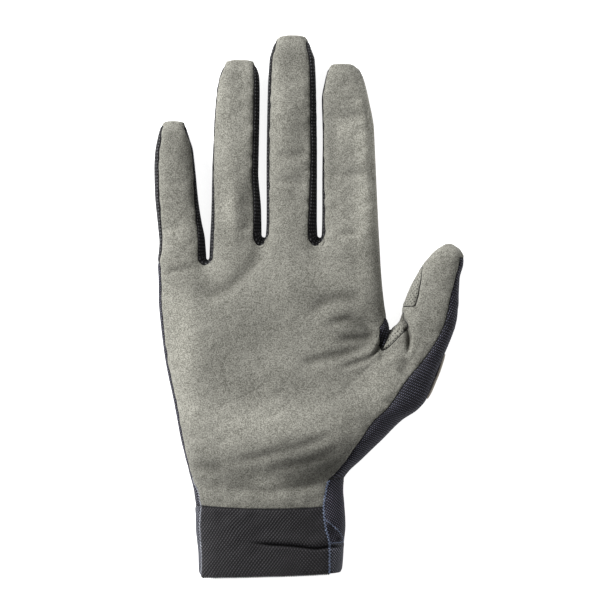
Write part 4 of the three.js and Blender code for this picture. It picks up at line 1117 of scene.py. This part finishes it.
class Tree:
    """A material with its shader, and short calls that add and link a node."""

    def __init__(self, name):
        self.material = bpy.data.materials.new(name)
        self.material.use_nodes = True
        self.nodes = self.material.node_tree.nodes
        self.links = self.material.node_tree.links
        self.shader = self.nodes["Principled BSDF"]

    def add(self, kind, **settings):
        node = self.nodes.new(kind)
        inputs = settings.pop("inputs", {})
        for key, value in settings.items():
            setattr(node, key, value)
        for key, value in inputs.items():
            if isinstance(value, bpy.types.NodeSocket):
                self.links.new(value, node.inputs[key])
            else:
                node.inputs[key].default_value = value
        return node

    def math(self, operation, a, b=0.0, clamp=False, c=None):
        inputs = {0: a} if operation == "SINE" else {0: a, 1: b}
        if c is not None:
            inputs[2] = c
        return self.add("ShaderNodeMath", operation=operation, use_clamp=clamp, inputs=inputs).outputs[0]

    def noise(self, vector, scale, detail=2.0, roughness=0.5):
        return self.add("ShaderNodeTexNoise", inputs={
            "Vector": vector, "Scale": scale, "Detail": detail, "Roughness": roughness}).outputs["Fac"]

    def mix(self, share, a, b):
        return self.add("ShaderNodeMix", data_type="RGBA", inputs={0: share, 6: a, 7: b}).outputs[2]

    def ramp(self, value, low, high):
        return self.add("ShaderNodeMapRange", interpolation_type="SMOOTHSTEP", inputs={
            "Value": value, "From Min": low, "From Max": high}).outputs["Result"]

    def attribute(self, name):
        return self.add("ShaderNodeAttribute", attribute_name=name).outputs["Fac"]

    def place(self):
        return self.add("ShaderNodeTexCoord").outputs["Object"]

    def cloth(self):
        return self.add("ShaderNodeUVMap", uv_map="cloth").outputs["UV"]

    def painted_crease_shade(self, color, deepest, share, dark):
        """Painted shade: the colour, mixed with a darker one by how deep in a fold the point lies."""
        crease_shade_share = self.ramp(self.math("MULTIPLY", self.attribute("crease"), -1.0), 0.1, deepest)
        return self.mix(self.math("MULTIPLY", crease_shade_share, share), color, dark)

    def at_seams(self, color, low, high, dark):
        """The dark colour at a seam, and the given one from a little way off it."""
        return self.mix(self.ramp(self.attribute("seam"), low, high), dark, color)

    def finish(self, color, bump, strength, distance, roughness, sheen=0.0, tint=None):
        self.links.new(color, self.shader.inputs["Base Color"])
        node = self.add("ShaderNodeBump", inputs={
            "Height": bump, "Strength": strength, "Distance": distance})
        self.links.new(node.outputs["Normal"], self.shader.inputs["Normal"])
        self.shader.inputs["Roughness"].default_value = roughness
        self.shader.inputs["Specular IOR Level"].default_value = 0.2
        self.shader.inputs["Sheen Weight"].default_value = sheen
        self.shader.inputs["Sheen Roughness"].default_value = 0.5
        if tint:
            self.shader.inputs["Sheen Tint"].default_value = tint
        return self.material


# %% [markdown]
# Suede: a short brushed nap. Up close it is a salt and pepper of light and dark fibres, under a
# millimetre each. Brushing leaves faint broader clouds. Painted light and shade lighten and darken
# broad spots of it, painted shade darkens it deep in a crease, and it is darker at a seam.

# %% Suede
def suede(name, dots):
    """Tone = 0.78 fibre + 0.12 tuft + 0.1 cloud, its colour times 1 + the painted light and shade at
    that point.
    """
    t = Tree(name)
    place = t.place()
    fibre = t.noise(place, 1900, 2, 0.8)
    tuft = t.noise(place, 500, 2, 0.6)
    cloud = t.noise(place, 70, 3, 0.6)
    tone = t.math("ADD", t.math("MULTIPLY", fibre, 0.78), t.math("MULTIPLY", tuft, 0.12))
    tone = t.math("ADD", tone, t.math("MULTIPLY", cloud, 0.1))
    color = t.mix(t.ramp(tone, 0.36, 0.64), srgb(84, 83, 76), srgb(144, 143, 135))
    # painted light and shade: the spots lighten the colour above 0 and darken it below 0
    painted_light_value = t.attribute("painted_light")
    painted_light_part = t.math("MULTIPLY", t.math("MAXIMUM", painted_light_value, 0.0), 1.5)
    painted_shade_part = t.math("MULTIPLY", t.math("MINIMUM", painted_light_value, 0.0), 0.65)
    shade = t.math("ADD", t.math("ADD", painted_light_part, painted_shade_part), 1.0)
    color = t.add("ShaderNodeVectorMath", operation="SCALE",
                  inputs={0: color, "Scale": shade}).outputs[0]
    # painted shade deep in a fold
    color = t.painted_crease_shade(color, 1.8, 0.5, srgb(56, 54, 49))
    color = t.at_seams(color, 0.1, 0.42, srgb(26, 26, 25))
    height = t.math("ADD", t.math("MULTIPLY", tuft, 0.35), t.math("MULTIPLY", fibre, 0.65))
    if dots:
        pitch = 1.4 * MM
        turned = t.add("ShaderNodeMapping", inputs={
            "Vector": t.cloth(), "Rotation": (0, 0, np.pi / 4), "Scale": (1 / pitch, 1 / pitch, 1)})
        cell = t.add("ShaderNodeVectorMath", operation="FRACTION", inputs={0: turned.outputs[0]})
        away = t.add("ShaderNodeVectorMath", operation="DISTANCE", inputs={
            0: cell.outputs[0], 1: (0.5, 0.5, 0.0)}).outputs["Value"]
        hole = t.ramp(away, 0.14, 0.24)
        color = t.mix(hole, srgb(24, 24, 24), color)
        height = t.math("MULTIPLY", height, hole)
    return t.finish(color, height, 0.5, 0.0004, 0.95, 0.12, (0.8, 0.8, 0.78, 1))


suede_plain = suede("suede", False)
suede_holes = suede("perforated_suede", True)

# %% [markdown]
# Meshes: a dark ground with rows of small light loops, each a short dash. Two sine waves on the
# cloth's own UV make the lattice, so that it follows the strip round the finger, and a little
# noise in the lattice's place keeps it from looking ruled. The knit cuff is a twill, whose loops
# run together into slanting rows.

# %% Meshes and the knit
def lattice(t, pitch, turn, stretch, wander):
    """Two sine waves across and along the turned UV, each from 0 to 1."""
    k = 2 * np.pi / (pitch * MM)
    drift = t.add("ShaderNodeTexNoise", inputs={"Vector": t.place(), "Scale": 60.0, "Detail": 1.0})
    moved = t.add("ShaderNodeVectorMath", operation="MULTIPLY_ADD", inputs={
        0: drift.outputs["Color"], 1: (wander * MM,) * 3, 2: t.cloth()}).outputs[0]
    turned = t.add("ShaderNodeMapping", inputs={
        "Vector": moved, "Rotation": (0, 0, turn), "Scale": (k, k * stretch, 1)}).outputs[0]
    split = t.add("ShaderNodeSeparateXYZ", inputs={0: turned})
    return [t.math("MULTIPLY_ADD", t.math("SINE", split.outputs[k]), 0.5, c=0.5) for k in (0, 1)]


def mesh_cloth(name, pitch, dark, light, turn=0.0, stretch=1.0, low=0.3, high=0.75, wander=1.2,
               rows=0.0, sheen=0.1):
    """Loops where both waves are high. rows mixes in one wave alone, as slanting rows."""
    t = Tree(name)
    across, along = lattice(t, pitch, turn, stretch, wander)
    loops = t.math("MULTIPLY", across, along)
    if rows:
        x = t.add("ShaderNodeSeparateXYZ", inputs={0: t.place()}).outputs[0]
        right = t.ramp(x, -0.012, 0.006)
        slant = t.math("ADD", t.math("MULTIPLY", across, t.math("SUBTRACT", 1.0, right)),
                       t.math("MULTIPLY", along, right))
        loops = t.math("ADD", t.math("MULTIPLY", loops, 1 - rows), t.math("MULTIPLY", slant, rows))
    fibre = t.noise(t.place(), 1500, 2, 0.6)
    patches = t.noise(t.place(), 90, 2, 0.5)
    share = t.ramp(t.math("ADD", loops, t.math("MULTIPLY", t.math("SUBTRACT", fibre, 0.5), 0.5)),
                   low, high)
    share = t.math("MULTIPLY", share, t.math("ADD", t.math("MULTIPLY", patches, 0.9), 0.5), True)
    color = t.mix(share, dark, light)
    color = t.at_seams(color, 0.0, 0.45, srgb(12, 12, 13))
    # painted shade deep in a fold
    color = t.painted_crease_shade(color, 1.0, 0.7, srgb(8, 8, 8))
    height = t.math("ADD", loops, t.math("MULTIPLY", fibre, 0.25))
    return t.finish(color, height, 0.7, 0.0005, 0.85, sheen, (0.6, 0.6, 0.7, 1))


# name, pitch, dark and light colour, turn, stretch, low, high, then wander and rows
MESHES = (
    ("navy_mesh", 1.1, (26, 25, 29), (106, 107, 124), 0.35, 1.05, 0.35, 0.85),
    ("gusset_mesh", 0.98, (30, 29, 34), (114, 114, 132), 0.6, 1.05, 0.35, 0.85),
    ("black_mesh", 1.25, (18, 18, 18), (92, 92, 94), 0.0, 0.85, 0.35, 0.9),
    ("knit", 1.0, (24, 23, 24), (68, 67, 70), 0.72, 0.8, 0.12, 0.95, 3.0, 0.32),
    ("cuff_mesh", 0.95, (44, 45, 50), (120, 122, 132), 0.72, 0.9, 0.15, 0.7))
cloths = {name: mesh_cloth(name, pitch, srgb(*dark), srgb(*light), *values)
          for name, pitch, dark, light, *values in MESHES}
MATERIALS = {
    "palm": (suede_plain, "suede"), "thumb_insert_upper": (suede_holes, "perforated_suede"),
    "thumb_insert_crotch": (suede_holes, "perforated_suede"),
    "back": (cloths["navy_mesh"], "navy_mesh"), "wrist_gusset": (cloths["gusset_mesh"], "navy_mesh"),
    "cuff_front": (cloths["knit"], "knit"), "cuff_back": (cloths["cuff_mesh"], "cuff_mesh"),
    **{strip: (cloths["black_mesh"], "black_mesh") for strip in ("little_side", *WEBS)}}

# %% [markdown]
# The patch is a plain light synthetic with a faint grain.

# %% Patch finish
t = Tree("patch")
grain = t.noise(t.place(), 900, 3, 0.6)
patch_finish = t.finish(t.mix(grain, srgb(212, 201, 186), srgb(240, 232, 219)), grain, 0.4, 0.0003, 0.7)
MATERIALS["thumb_back_patch"] = (patch_finish, "patch")
for n, obj in pieces.items():
    material, slot_name = MATERIALS[n]
    obj.data.materials.append(material)

# %% [markdown]
# Sewing thread has a soft shine and small twisted strands, which a fine noise along it stands for.

# %% Thread finishes
def thread_finish(name, dark, light):
    """A mix of two colours by a fine noise, which is also the bump."""
    t = Tree(name)
    twist = t.noise(t.place(), 2600, 2, 0.6)
    return t.finish(t.mix(t.ramp(twist, 0.35, 0.65), dark, light), twist, 0.4, 0.0002, 0.6)


THREAD_FINISHES = {
    "light": thread_finish("light_thread", srgb(96, 98, 106), srgb(176, 178, 186)),
    "blue": thread_finish("blue_thread", srgb(74, 82, 102), srgb(146, 158, 184)),
    "dark": thread_finish("dark_thread", srgb(14, 14, 15), srgb(46, 45, 47))}
for finish, obj in threads:
    obj.data.materials.append(THREAD_FINISHES[finish])

# %% [markdown]
# The floor is a plain pale sheet, lit softly from the upper left as in a catalogue picture, with
# the camera straight above.

# %% Floor, light and camera
bpy.ops.mesh.primitive_plane_add(size=6, location=(0, 0, -0.0002))
floor = bpy.context.object
floor.name = "floor"
t = Tree("floor")
t.shader.inputs["Base Color"].default_value = (0.9, 0.9, 0.9, 1)
t.shader.inputs["Roughness"].default_value = 0.9
t.shader.inputs["Emission Color"].default_value = (1, 1, 1, 1)
t.shader.inputs["Emission Strength"].default_value = 0.86
floor.data.materials.append(t.material)

world = bpy.data.worlds.new("studio")
bpy.context.scene.world = world
world.use_nodes = True
world.node_tree.nodes["Background"].inputs[0].default_value = (1, 1, 1, 1)
world.node_tree.nodes["Background"].inputs[1].default_value = 0.24


def area_light(name, place, size, power):
    """A square light at a place, turned towards the origin."""
    data = bpy.data.lights.new(name, "AREA")
    data.size = size
    data.energy = power
    obj = bpy.data.objects.new(name, data)
    bpy.context.scene.collection.objects.link(obj)
    obj.location = place
    obj.rotation_euler = (-obj.location).to_track_quat("-Z", "Y").to_euler()


area_light("key", (-1.15, 0.95, 0.9), 0.6, 58)
area_light("fill", (0.7, -0.3, 1.6), 1.4, 3)

PIXEL = 0.436 * MM
camera_data = bpy.data.cameras.new("camera")
camera = bpy.data.objects.new("camera", camera_data)
bpy.context.scene.collection.objects.link(camera)
distance = 1.5
camera_data.sensor_width = 36
camera_data.lens = 36 * distance / (600 * PIXEL)
# the middle of the photograph, in millimetres from the middle of the wrist seam
view_middle = np.array([13.1, 89.8])
camera.location = (*((view_middle + SHIFT[:2]) * MM), 0.012 + distance)
bpy.context.scene.camera = camera
bpy.context.scene.view_settings.view_transform = "Standard"
bpy.context.scene.view_settings.look = "None"
